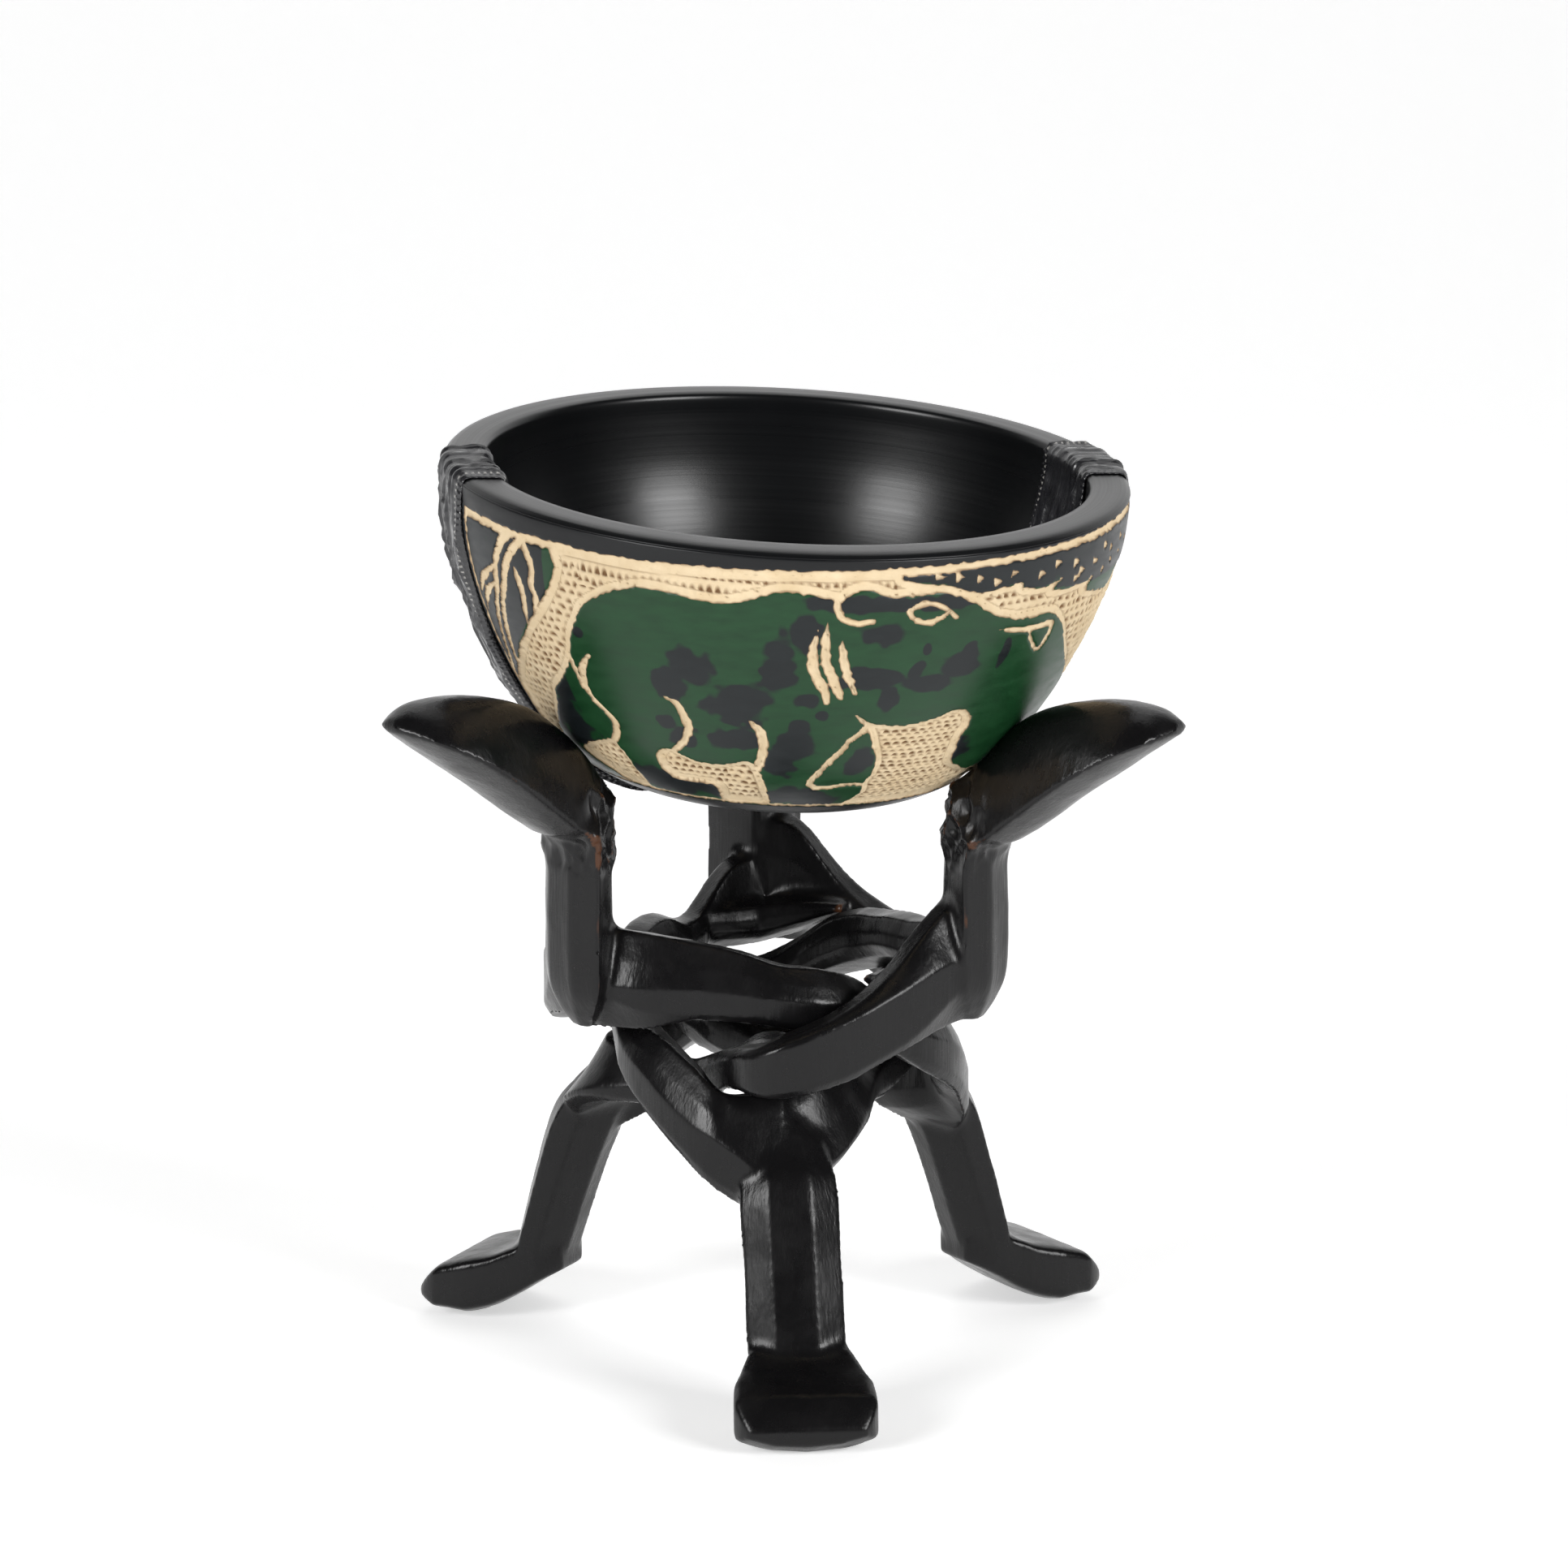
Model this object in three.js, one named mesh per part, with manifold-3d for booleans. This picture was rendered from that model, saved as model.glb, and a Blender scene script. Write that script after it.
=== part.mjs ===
// Carved wooden bowl on an interlocking three-legged stand.
//
// The stand is three legs carved from one log. Each leg is a hand-shaped rest, a post, a ring
// split into two strands, a shin and a foot. The three rings are linked so that no two of them
// are chained to each other, but all three hold together. The bowl lies loose on the three rests,
// with two leather straps lapped over its rim.
//
// Units: millimetres. +Z is up, the ground is z = 0. -Y is the front, +X is the right.
import * as THREE from 'three';
import { mergeVertices } from 'three/addons/utils/BufferGeometryUtils.js';
import Module from 'manifold-3d';

// ---------------------------------------------------------------- driving dimensions
const STAND_AXIS_Y = -9.15;       // the stand's axis, so that the origin is under the middle
const LEG_AZIMUTHS = { leg_front: 90, leg_left: 210, leg_right: 330 };   // where each rest points

const BOWL_RIM_CENTRE = [4.5, -1.5, 240.9];   // middle of the rim, from the stand's axis
const BOWL_LEAN_FRONT = 3.6;      // degrees, the bowl dips towards the front
const BOWL_LEAN_RIGHT = 2.9;      // degrees, and a little to the right
const BOWL_SEGMENTS = 72;

const STRAP_WIDTH = 32;
const STRAP_THICKNESS = 1.5;
const STRAP_GAP = 0.45;           // leather to wood
const STRAPS = { strap_left: { azimuth: 186.7, endRadius: 18 }, strap_right: { azimuth: 12.8, endRadius: 24 } };
const STRAP_INSIDE_DEPTH = 46;    // how far a strap reaches down the inside wall
const STRAP_COLUMNS = 5;

// Bowl profile as [radius, height above the rim plane], from the middle of the inside,
// up over the rim, and down the outside to the middle of the base.
const BOWL_INSIDE = [[0, -71.5], [18, -71], [34, -68.4], [48, -62.6], [59, -54.2], [67.5, -43.6],
  [73.5, -32], [77.2, -20], [78.9, -8], [79.2, -1.2], [80.2, 0]];
const BOWL_OUTSIDE = [[89, 0], [90, -1.2], [90, -5], [89.2, -14], [86.9, -24], [83.4, -34], [78.7, -44.5],
  [72.9, -55], [66, -65.4], [59, -72.6], [51.2, -78.4], [44, -81.8], [39, -82.8], [0, -82.8]];

// Strands of a leg's ring, by the angle around the stand's axis from the leg's rest (0) to its
// foot (180): [angle, outer radius, inner radius, bottom, ridge where the outer face ends, top].
// The falling strand goes clockwise seen from above: outside first, then inside.
const FALLING_STRAND = [
  [0, 66, 50, 103.5, 121, 134], [15, 62, 48.5, 101, 118, 126], [30, 60.5, 48, 94.5, 112, 114.5],
  [45, 61, 48.5, 88, 106, 106.5], [60, 61, 48, 84.5, 100.5, 101], [67.5, 59, 47, 84.5, 97, 97.6],
  [75, 52, 39.5, 84.5, 94, 95], [82.5, 43.5, 30.5, 81, 90.5, 92], [90, 38.5, 26, 78, 87, 89.5],
  [105, 32.5, 19.5, 73.5, 82, 86], [120, 31.5, 18.5, 71, 79, 83.5], [135, 35.5, 21, 70, 76.5, 83],
  [150, 44, 27, 68.5, 73.5, 84], [165, 52.5, 34, 62, 67, 84.5], [180, 58, 40, 54, 62, 83.5]];
// The rising strand goes anticlockwise: inside first, then outside.
const RISING_STRAND = [
  [0, 63, 49, 101, 114, 125], [15, 57, 41, 102, 114, 123.5], [30, 49, 35, 104, 113.5, 121],
  [45, 45.5, 31.5, 102, 113, 118.5], [60, 45, 31, 99, 111.5, 115.5], [75, 45, 31, 96, 108.5, 112],
  [90, 44.5, 30.5, 92.5, 103, 107], [105, 44.5, 31, 88.5, 98, 101.5], [120, 48, 34.5, 81, 92, 97.5],
  [135, 51, 38.5, 74, 87, 95.5], [150, 54.5, 41.5, 65.5, 79, 90], [157.5, 56.5, 45, 60.5, 75.5, 86],
  [165, 57.5, 45, 56, 72.5, 81.5], [172.5, 59, 43, 52, 68, 80.5], [180, 60, 40, 49, 62, 83]];
const STRAND_STEP = 7.5;          // degrees between two cross sections

// Rest and post: [distance out u, height z, lean of the section's plane, half width,
// depth on the inner or upper side, depth on the outer or under side].
const REST_SECTIONS = [
  [60, 100, 90, 8, 7, 3], [62.5, 106, 90, 13, 12, 4], [62.8, 126, 90, 13, 12.3, 4.2],
  [63, 144.5, 90, 13.2, 12.3, 4.2], [69.5, 150.2, 52, 14.3, 18.2, 4.6], [78, 156.8, 38, 16, 20.5, 5],
  [89.5, 165.8, 35, 18, 19.8, 5], [101.5, 173.6, 28, 17.3, 14.5, 4.5], [111.5, 178.4, 19, 13, 8.2, 2.6],
  [117.6, 180.8, 12, 4, 2.2, 1]];
const REST_ROUNDNESS = 2.4;       // how square-shouldered the arched side is, 2 is a parabola
// The legs are carved by hand, so each one differs a little from the others: how much its rest
// is raised, its foot moved along t, the start of its rising strand lowered, and the ends of its
// falling and rising strands moved out at the knee.
const LEG_DIFFERENCES = {
  leg_front: { restRaise: 2.2, footShift: -2.6, strandDrop: 11, fallingKnee: 0, risingKnee: 0 },
  leg_left: { restRaise: 4.2, footShift: 0, strandDrop: 0, fallingKnee: 0, risingKnee: -2 },
  leg_right: { restRaise: 0.4, footShift: 0, strandDrop: 3, fallingKnee: 6, risingKnee: 0 },
};
const REST_RAISE_FROM = 130;      // the post grows or shrinks above this height
const REST_GAP = 0.4;             // the rests are hollowed to the bowl, this far from it

// Shin, from the ring down: [outer distance, its height, inner distance, its height, half width].
const SHIN_SECTIONS = [
  [54, 68, 41, 64, 10], [61.5, 60, 45.5, 57, 13], [67, 42, 52.5, 40, 13], [73, 20, 61, 15, 13.2]];
// Foot: side outline as [distance out, height], and plan outline as [distance out, half width].
const FOOT_OUTLINE = [[60, 21.5], [68, 22.5], [77, 18.5], [92, 14.5], [99.5, 7], [98.5, 3.2],
  [94.5, 0], [85.5, 0], [75, 4.5], [65, 12]];
const FOOT_PLAN = [[58, 5], [66, 11], [76, 15.5], [85, 18.2], [91, 18.8], [98, 13], [101, 0]];
const FOOT_PAD_HALF_WIDTH = 7;    // the flat that touches the ground, across the foot
const FOOT_SIDE_LIFT = 3;         // how much the sole rises from the pad to the foot's sides

const WOOD_BLACK = 0x191a1b;
const WOOD_GREEN = 0x24452c;
const LEATHER_BLACK = 0x1f2022;

// ---------------------------------------------------------------- helpers
const wasm = await Module();
wasm.setup();
const RADIANS = Math.PI / 180;

/** A geometry with only its positions left, so that shared corners can be merged. */
function bareGeometry(geometry) {
  const bare = geometry.clone();
  bare.deleteAttribute('normal');
  bare.deleteAttribute('uv');
  return bare;
}

/** A manifold-3d solid of a closed three.js geometry. */
function solidOf(geometry) {
  const merged = mergeVertices(bareGeometry(geometry), 1e-4);
  return new wasm.Manifold(new wasm.Mesh({
    numProp: 3,
    vertProperties: new Float32Array(merged.attributes.position.array),
    triVerts: new Uint32Array(merged.index.array),
  }));
}

/** A three.js geometry of a manifold-3d solid. */
function geometryOf(solid) {
  const mesh = solid.getMesh();
  const geometry = new THREE.BufferGeometry();
  geometry.setAttribute('position', new THREE.BufferAttribute(new Float32Array(mesh.vertProperties), 3));
  geometry.setIndex(new THREE.BufferAttribute(new Uint32Array(mesh.triVerts), 1));
  geometry.computeVertexNormals();
  return geometry;
}

/** Value of a table column at a key, on a smooth curve through the table's rows. */
function tableValue(table, key, column) {
  const last = table.length - 1;
  if (key <= table[0][0]) return table[0][column];
  if (key >= table[last][0]) return table[last][column];
  const i = table.findIndex((row, n) => n < last && key <= table[n + 1][0]);
  const slope = (n) => {
    const a = Math.max(n - 1, 0);
    const b = Math.min(n + 1, last);
    return (table[b][column] - table[a][column]) / (table[b][0] - table[a][0]);
  };
  const width = table[i + 1][0] - table[i][0];
  const s = (key - table[i][0]) / width;
  const h00 = (1 + 2 * s) * (1 - s) ** 2;
  const h10 = s * (1 - s) ** 2;
  const h01 = s * s * (3 - 2 * s);
  const h11 = s * s * (s - 1);
  return h00 * table[i][column] + h10 * width * slope(i)
    + h01 * table[i + 1][column] + h11 * width * slope(i + 1);
}

/** Triangles that cap a closed loop of points, as places in the loop, turned as the loop turns. */
function capTriangles(loop) {
  const normal = new THREE.Vector3();
  loop.forEach((p, i) => normal.add(p.clone().cross(loop[(i + 1) % loop.length])));
  normal.normalize();
  const side = Math.abs(normal.z) < 0.9 ? new THREE.Vector3(0, 0, 1) : new THREE.Vector3(1, 0, 0);
  const right = side.clone().cross(normal).normalize();
  const up = normal.clone().cross(right);
  const flat = loop.map((p) => new THREE.Vector2(p.dot(right), p.dot(up)));
  return THREE.ShapeUtils.triangulateShape(flat, []);
}

/** A closed body through a row of closed loops of points, capped at both ends. */
function loftGeometry(loops) {
  const sides = loops[0].length;
  const positions = loops.flat().flatMap((p) => [p.x, p.y, p.z]);
  const index = [];
  for (let i = 0; i + 1 < loops.length; i += 1) {
    for (let j = 0; j < sides; j += 1) {
      const k = (j + 1) % sides;
      const a = i * sides + j;
      const b = i * sides + k;
      index.push(a, b, b + sides, a, b + sides, a + sides);
    }
  }
  const lastLoop = (loops.length - 1) * sides;
  capTriangles(loops[0]).forEach(([a, b, c]) => index.push(a, c, b));
  capTriangles(loops.at(-1)).forEach(([a, b, c]) => index.push(lastLoop + a, lastLoop + b, lastLoop + c));
  const geometry = new THREE.BufferGeometry();
  geometry.setAttribute('position', new THREE.Float32BufferAttribute(positions, 3));
  geometry.setIndex(index);
  return outwards(geometry);
}

/** The same geometry with its faces turned out if its volume comes out negative. */
function outwards(geometry) {
  const p = geometry.attributes.position;
  const index = geometry.index.array;
  const corner = (n) => new THREE.Vector3().fromBufferAttribute(p, index[n]);
  let volume = 0;
  for (let n = 0; n < index.length; n += 3) {
    volume += corner(n).dot(corner(n + 1).cross(corner(n + 2)));
  }
  if (volume < 0) {
    for (let n = 0; n < index.length; n += 3) {
      [index[n], index[n + 1]] = [index[n + 1], index[n]];
    }
  }
  return geometry;
}

// ---------------------------------------------------------------- legs
// A leg is drawn in its own frame: u points from the stand's axis to the rest, t is
// anticlockwise across it, z is up. The foot is on the -u side.

/** Corners of a strand's cross section as [radius, height], anticlockwise from the lower outside. */
function strandSection([outer, inner, bottom, ridge, top]) {
  const depth = outer - inner;
  const height = top - bottom;
  const hollow = top - ridge;
  return [[outer - 0.14 * depth, bottom], [outer, bottom + 0.14 * height], [outer, ridge - 0.06 * height],
    [outer - 0.14 * depth - 0.12 * hollow, ridge + 0.4 * hollow], [outer - 0.3 * depth - 0.2 * hollow, top],
    [inner + 0.12 * depth, top - 0.06 * height], [inner, top - 0.3 * height],
    [inner, bottom + 0.3 * height + 0.35 * hollow], [inner + 0.2 * depth, bottom + 0.04 * height + 0.5 * hollow]];
}

/**
 * One strand of the ring, turning around the axis in the given direction (+1 or -1).
 * Its start is lowered by drop, and its outer side near the knee is moved out by knee.
 */
function strandSolid(table, direction, knee, drop = 0) {
  const loops = [];
  for (let angle = 0; angle <= 180; angle += STRAND_STEP) {
    const [outer, inner, bottom, ridge, top] = [1, 2, 3, 4, 5].map((column) => tableValue(table, angle, column));
    const lower = drop * Math.exp(-(((angle - 28) / 20) ** 2));
    const wider = knee * Math.exp(-(((angle - 156) / 16) ** 2));
    const section = strandSection(
      [outer + wider, inner, bottom - 0.5 * lower, ridge - 0.75 * lower, top - lower]);
    const around = direction * angle * RADIANS;
    loops.push(section.map(([r, z]) => new THREE.Vector3(r * Math.cos(around), r * Math.sin(around), z)));
  }
  return solidOf(loftGeometry(loops));
}

/** Rest and post: lens-shaped sections with an arched upper side and sharp edges. */
function restSolid(restRaise) {
  const topSteps = [-1, -0.75, -0.4, 0, 0.4, 0.75];
  const underSteps = [1, 0.5, -0.5];
  const loops = REST_SECTIONS.map(([u, z, lean, halfWidth, upper, under]) => {
    const normal = new THREE.Vector3(-Math.sin(lean * RADIANS), 0, Math.cos(lean * RADIANS));
    const edge = new THREE.Vector3(u, 0, z > REST_RAISE_FROM ? z + restRaise : z);
    const at = (s, rise) => edge.clone().addScaledVector(normal, rise).setY(s * halfWidth);
    return [...topSteps.map((s) => at(s, upper * (1 - Math.abs(s) ** REST_ROUNDNESS))),
      ...underSteps.map((s) => at(s, -under * (1 - s * s)))];
  });
  return solidOf(loftGeometry(loops));
}

/** Shin: a wedge of the log with three outer facets, narrow on its inner side. */
function shinSolid(footShift) {
  const top = SHIN_SECTIONS[0][1];
  const loops = SHIN_SECTIONS.map(([outer, outerZ, inner, innerZ, halfWidth]) => {
    const aside = footShift * (1 - outerZ / top);
    const at = (s, across) => new THREE.Vector3(
      -(inner + (outer - inner) * s), across * halfWidth + aside, innerZ + (outerZ - innerZ) * s);
    return [at(0, -0.3), at(0, 0.3), at(0.45, 0.85), at(0.82, 1), at(1.1, 0.42), at(1.1, -0.42),
      at(0.82, -1), at(0.45, -0.85)];
  });
  return solidOf(loftGeometry(loops));
}

/** Foot: its side outline carried across, trimmed to its plan outline that fans out to the toe. */
function footSolid(footShift) {
  const widest = 24;
  const across = [-widest, -FOOT_PAD_HALF_WIDTH, FOOT_PAD_HALF_WIDTH, widest];
  const sides = solidOf(loftGeometry(across.map((t) => FOOT_OUTLINE.map(([out, z]) => {
    const beyondPad = (Math.abs(t) - FOOT_PAD_HALF_WIDTH) / (widest - FOOT_PAD_HALF_WIDTH);
    const lift = z < 10 ? FOOT_SIDE_LIFT * 1.4 * beyondPad : 0;
    return new THREE.Vector3(-out, t + footShift, z + lift);
  }))));
  const plan = new THREE.Shape([
    ...FOOT_PLAN.map(([out, half]) => new THREE.Vector2(-out, half + footShift)),
    ...FOOT_PLAN.slice(0, -1).toReversed().map(([out, half]) => new THREE.Vector2(-out, footShift - half))]);
  const block = new THREE.ExtrudeGeometry(plan, { depth: 60, bevelEnabled: false });
  block.translate(0, 0, -20);
  return sides.intersect(solidOf(outwards(mergeVertices(bareGeometry(block), 1e-4))));
}

/** A whole leg in its own frame. */
function legSolid({ restRaise, footShift, strandDrop, fallingKnee, risingKnee }) {
  return strandSolid(FALLING_STRAND, -1, fallingKnee)
    .add(strandSolid(RISING_STRAND, 1, risingKnee, strandDrop))
    .add(restSolid(restRaise))
    .add(shinSolid(footShift))
    .add(footSolid(footShift));
}

// ---------------------------------------------------------------- bowl
/** The turned bowl about +Z, with the middle of its rim at the origin. */
function bowlGeometry() {
  const points = [...BOWL_OUTSIDE.toReversed(), ...BOWL_INSIDE.toReversed()]
    .map(([r, z]) => new THREE.Vector2(r, z));
  const geometry = new THREE.LatheGeometry(points, BOWL_SEGMENTS);
  geometry.rotateX(Math.PI / 2);
  return geometryOf(solidOf(geometry));
}

/** The bowl's placing on the stand, from its own frame to the stand's. */
function bowlMatrix() {
  const turn = new THREE.Euler(BOWL_LEAN_FRONT * RADIANS, BOWL_LEAN_RIGHT * RADIANS, 0);
  return new THREE.Matrix4().makeRotationFromEuler(turn).setPosition(...BOWL_RIM_CENTRE);
}

/** The room that a rest leaves for the bowl, in the frame of the leg at an azimuth. */
function bowlRoom(azimuth) {
  const points = offsetPath(BOWL_OUTSIDE, REST_GAP).toReversed();
  points[0][0] = 0;
  points.push([0, points.at(-1)[1]]);
  const geometry = new THREE.LatheGeometry(points.map(([r, z]) => new THREE.Vector2(r, z)), BOWL_SEGMENTS);
  geometry.rotateX(Math.PI / 2);
  geometry.applyMatrix4(bowlMatrix());
  geometry.rotateZ(-azimuth * RADIANS);
  return solidOf(geometry);
}

/** Points of the bowl's profile that a strap covers, from its inside end to its end under the base. */
function strapPath(endRadius) {
  const inside = BOWL_INSIDE.filter(([, z]) => z > -STRAP_INSIDE_DEPTH);
  const outside = BOWL_OUTSIDE.filter(([r]) => r > endRadius);
  return [...inside, ...outside, [endRadius, BOWL_OUTSIDE.at(-1)[1]]];
}

/** The path moved off the wood by a distance, with mitred corners. */
function offsetPath(path, distance) {
  return path.map(([r, z], i) => {
    const before = path[Math.max(i - 1, 0)];
    const after = path[Math.min(i + 1, path.length - 1)];
    const unit = (a, b) => {
      const length = Math.hypot(b[0] - a[0], b[1] - a[1]) || 1;
      return [-(b[1] - a[1]) / length, (b[0] - a[0]) / length];
    };
    const n1 = i === 0 ? unit([r, z], after) : unit(before, [r, z]);
    const n2 = i === path.length - 1 ? n1 : unit([r, z], after);
    const dot = 1 + n1[0] * n2[0] + n1[1] * n2[1];
    return [r + distance * (n1[0] + n2[0]) / dot, z + distance * (n1[1] + n2[1]) / dot];
  });
}

/** A strap of even width lapped over the rim, about the bowl's axis. */
function strapGeometry({ azimuth, endRadius }) {
  const path = strapPath(endRadius);
  const near = offsetPath(path, STRAP_GAP);
  const far = offsetPath(path, STRAP_GAP + STRAP_THICKNESS);
  const across = Array.from({ length: STRAP_COLUMNS + 1 }, (_, i) => (i / STRAP_COLUMNS - 0.5) * STRAP_WIDTH);
  const at = ([r, z], w) => {
    const angle = azimuth * RADIANS + Math.asin(w / Math.hypot(r, 0));
    return new THREE.Vector3(r * Math.cos(angle), r * Math.sin(angle), z);
  };
  const loops = path.map((_, i) => [
    ...across.map((w) => at(near[i], w)),
    ...across.toReversed().map((w) => at(far[i], w))]);
  return loftGeometry(loops);
}

// ---------------------------------------------------------------- assembly
function finish(name, geometry, color, roughness) {
  const mesh = new THREE.Mesh(geometry, new THREE.MeshStandardMaterial({ color, roughness, metalness: 0 }));
  mesh.name = name;
  return mesh;
}

const stand = new THREE.Group();
for (const [name, azimuth] of Object.entries(LEG_AZIMUTHS)) {
  const solid = legSolid(LEG_DIFFERENCES[name]).subtract(bowlRoom(azimuth));
  const leg = finish(name, geometryOf(solid), WOOD_BLACK, 0.4);
  leg.rotation.z = azimuth * RADIANS;
  stand.add(leg);
}

const bowl = new THREE.Group();
bowl.applyMatrix4(bowlMatrix());
bowl.add(finish('bowl', bowlGeometry(), WOOD_GREEN, 0.45));
for (const [name, strap] of Object.entries(STRAPS)) {
  bowl.add(finish(name, strapGeometry(strap), LEATHER_BLACK, 0.5));
}

const object = new THREE.Group();
object.position.y = STAND_AXIS_Y;
object.add(stand, bowl);
export default object;
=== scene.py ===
"""Carved and painted wooden bowl with leather straps, on a stand of three interlocked legs.

Run as a script in Blender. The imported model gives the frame, and the pieces made here stand for
its plain solids: finely carved legs, a turned bowl with a cut and painted wall, and two straps.
"""

import bpy
import numpy as np
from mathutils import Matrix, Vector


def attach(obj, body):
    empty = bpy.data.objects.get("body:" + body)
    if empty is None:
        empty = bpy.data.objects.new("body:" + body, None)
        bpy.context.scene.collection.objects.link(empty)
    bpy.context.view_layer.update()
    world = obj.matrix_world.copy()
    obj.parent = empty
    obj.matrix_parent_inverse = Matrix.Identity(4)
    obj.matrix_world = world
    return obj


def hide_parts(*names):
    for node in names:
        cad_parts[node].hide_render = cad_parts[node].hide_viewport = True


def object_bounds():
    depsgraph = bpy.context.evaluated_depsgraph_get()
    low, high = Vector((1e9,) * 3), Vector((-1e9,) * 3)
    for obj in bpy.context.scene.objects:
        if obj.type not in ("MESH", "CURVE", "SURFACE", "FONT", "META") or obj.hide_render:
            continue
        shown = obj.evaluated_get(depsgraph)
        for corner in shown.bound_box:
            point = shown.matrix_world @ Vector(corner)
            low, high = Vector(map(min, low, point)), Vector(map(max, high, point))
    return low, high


bl_info = {
    "name": "Carved bowl on interlocking stand",
    "version": (1, 0, 0),
    "blender": (4, 5, 0),
    "location": "3D View > Sidebar > Carved bowl",
    "description": "Makes the carved legs, the cut and painted bowl, its straps and the stage",
    "category": "Add Mesh",
}

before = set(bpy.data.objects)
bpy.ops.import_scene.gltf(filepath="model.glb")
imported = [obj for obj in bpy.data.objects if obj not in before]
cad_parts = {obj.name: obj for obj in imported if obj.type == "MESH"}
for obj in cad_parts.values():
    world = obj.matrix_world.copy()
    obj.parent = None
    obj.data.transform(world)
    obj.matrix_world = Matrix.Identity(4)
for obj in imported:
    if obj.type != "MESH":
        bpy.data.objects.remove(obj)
CAD_BOUNDS = [[float(v) for v in corner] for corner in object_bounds()]
MM = 0.001

# ---------------------------------------------------------------- sizes, in millimetres
STAND_AXIS_Y = -9.15
LEG_AZIMUTHS = {"leg_front": 90.0, "leg_left": 210.0, "leg_right": 330.0}
LEG_BODIES = {"leg_front": "front_leg", "leg_left": "left_leg", "leg_right": "right_leg"}
BOWL_CENTRE = (4.5, -1.5 + STAND_AXIS_Y, 240.9)
BOWL_LEAN_FRONT = 3.6
BOWL_LEAN_RIGHT = 2.9

# The bowl's inside and outside, in its own frame: radius, and height from the rim's top.
BOWL_INSIDE = [(0, -71.5), (18, -71), (34, -68.4), (48, -62.6), (59, -54.2), (67.5, -43.6),
               (73.5, -32), (77.2, -20), (78.9, -8), (79.2, -1.6)]
BOWL_OUTSIDE = [(89, 0), (90, -1.2), (90, -5), (89.2, -14), (86.9, -24), (83.4, -34), (78.7, -44.5),
                (72.9, -55), (66, -65.4), (59, -72.6), (51.2, -78.4), (44, -81.8), (39, -82.8)]

# Strands of a ring by the angle from the rest (0) to the foot (180):
# angle, outer radius, inner radius, bottom, ridge where the outer face ends, top.
FALLING_STRAND = [
    (0, 66, 50, 98, 121, 134), (15, 62, 48.5, 97, 118, 126), (30, 60.5, 48, 93.5, 112, 114.5),
    (45, 61, 48.5, 88, 106, 106.5), (60, 61, 48, 84.5, 100.5, 101), (67.5, 59, 47, 84.5, 97, 97.6),
    (75, 52, 39.5, 84.5, 94, 95), (82.5, 43.5, 30.5, 81, 90.5, 92), (90, 38.5, 26, 75.5, 87, 89.5),
    (105, 32.5, 19.5, 71, 82, 86), (120, 31.5, 18.5, 71, 79, 83.5), (135, 35.5, 21, 70, 76.5, 83),
    (150, 44, 26, 68.5, 73.5, 84), (165, 52.5, 28, 62, 67, 84.5), (180, 58, 29, 54, 62, 83.5)]
RISING_STRAND = [
    (0, 63, 49, 97, 112.5, 125), (15, 57, 41, 98, 112, 123.5), (30, 49, 35, 101, 111.5, 121),
    (45, 45.5, 31.5, 100.5, 110.3, 118.5), (60, 45, 31, 99, 108.6, 115.5),
    (75, 45, 31, 96, 107, 114), (90, 44.5, 30.5, 92.5, 104, 110.5),
    (105, 44.5, 31, 88.5, 98, 103.5), (120, 48, 34.5, 81, 92, 97.5), (135, 51, 38.5, 74, 87, 95.5),
    (150, 54.5, 41.5, 65.5, 79, 90), (157.5, 56.5, 45, 60.5, 75.5, 86),
    (161, 57, 45, 58.3, 74.2, 83.9), (168, 58.2, 36, 54.5, 70.5, 82.6), (180, 60, 29, 49, 62, 83.3)]

# The low shelf inside a falling strand, under its neighbour: the same columns.
SHELF = [
    (42, 55, 46, 90, 92, 94), (50, 55, 37, 87.5, 93, 95.3), (60, 54, 33, 86, 94, 97.3),
    (70, 50, 30, 85.8, 92, 96), (80, 40, 27, 84, 88, 91), (86, 36, 30, 83, 86, 88)]

# The web inside the foot of a post, over its neighbour, on the falling and on the rising side.
FALLING_WEB = [
    (0, 52, 40, 99.6, 108, 112), (15, 52, 40, 103, 109, 113), (30, 52, 43, 108.5, 110.5, 112.5)]
RISING_WEB = [
    (0, 52, 40, 99.6, 108, 112), (10, 50, 38, 99.2, 106, 112), (20, 48, 38, 99.6, 106, 112)]

# Rest and post: distance out, height, lean of the section, half width, inner or upper depth,
# outer or under depth, and how wedge-like the section is (1 on the post, 0 on the rest).
REST_SECTIONS = [
    (60, 98, 90, 4, 5, 1.5, 1), (61.6, 103, 90, 8.5, 9, 2.8, 1), (62.6, 110.5, 90, 12.8, 12, 4, 1),
    (62.8, 126, 90, 13, 12.3, 4.2, 1), (63, 144.5, 90, 13.2, 12.3, 4.2, 1),
    (69.5, 150.2, 52, 14.3, 18.2, 4.6, 0.3), (78, 156.8, 38, 16, 20.5, 5, 0),
    (89.5, 165.8, 35, 18, 19.8, 5, 0), (101.5, 173.6, 28, 17.3, 14.5, 4.5, 0),
    (111.5, 178.4, 19, 13, 8.2, 2.6, 0), (117.6, 180.8, 12, 4, 2.2, 1, 0)]
# Shin, from the crotch to the ankle: distance out and height of its outer side, the same of its
# inner side, and half width.
SHIN_SECTIONS = [
    (48, 76, 36, 72, 6), (55, 68.5, 41, 64.5, 11), (61.2, 60, 45.5, 57, 13), (67, 42, 52.5, 40, 13),
    (73, 20, 61, 15, 13.2)]
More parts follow.
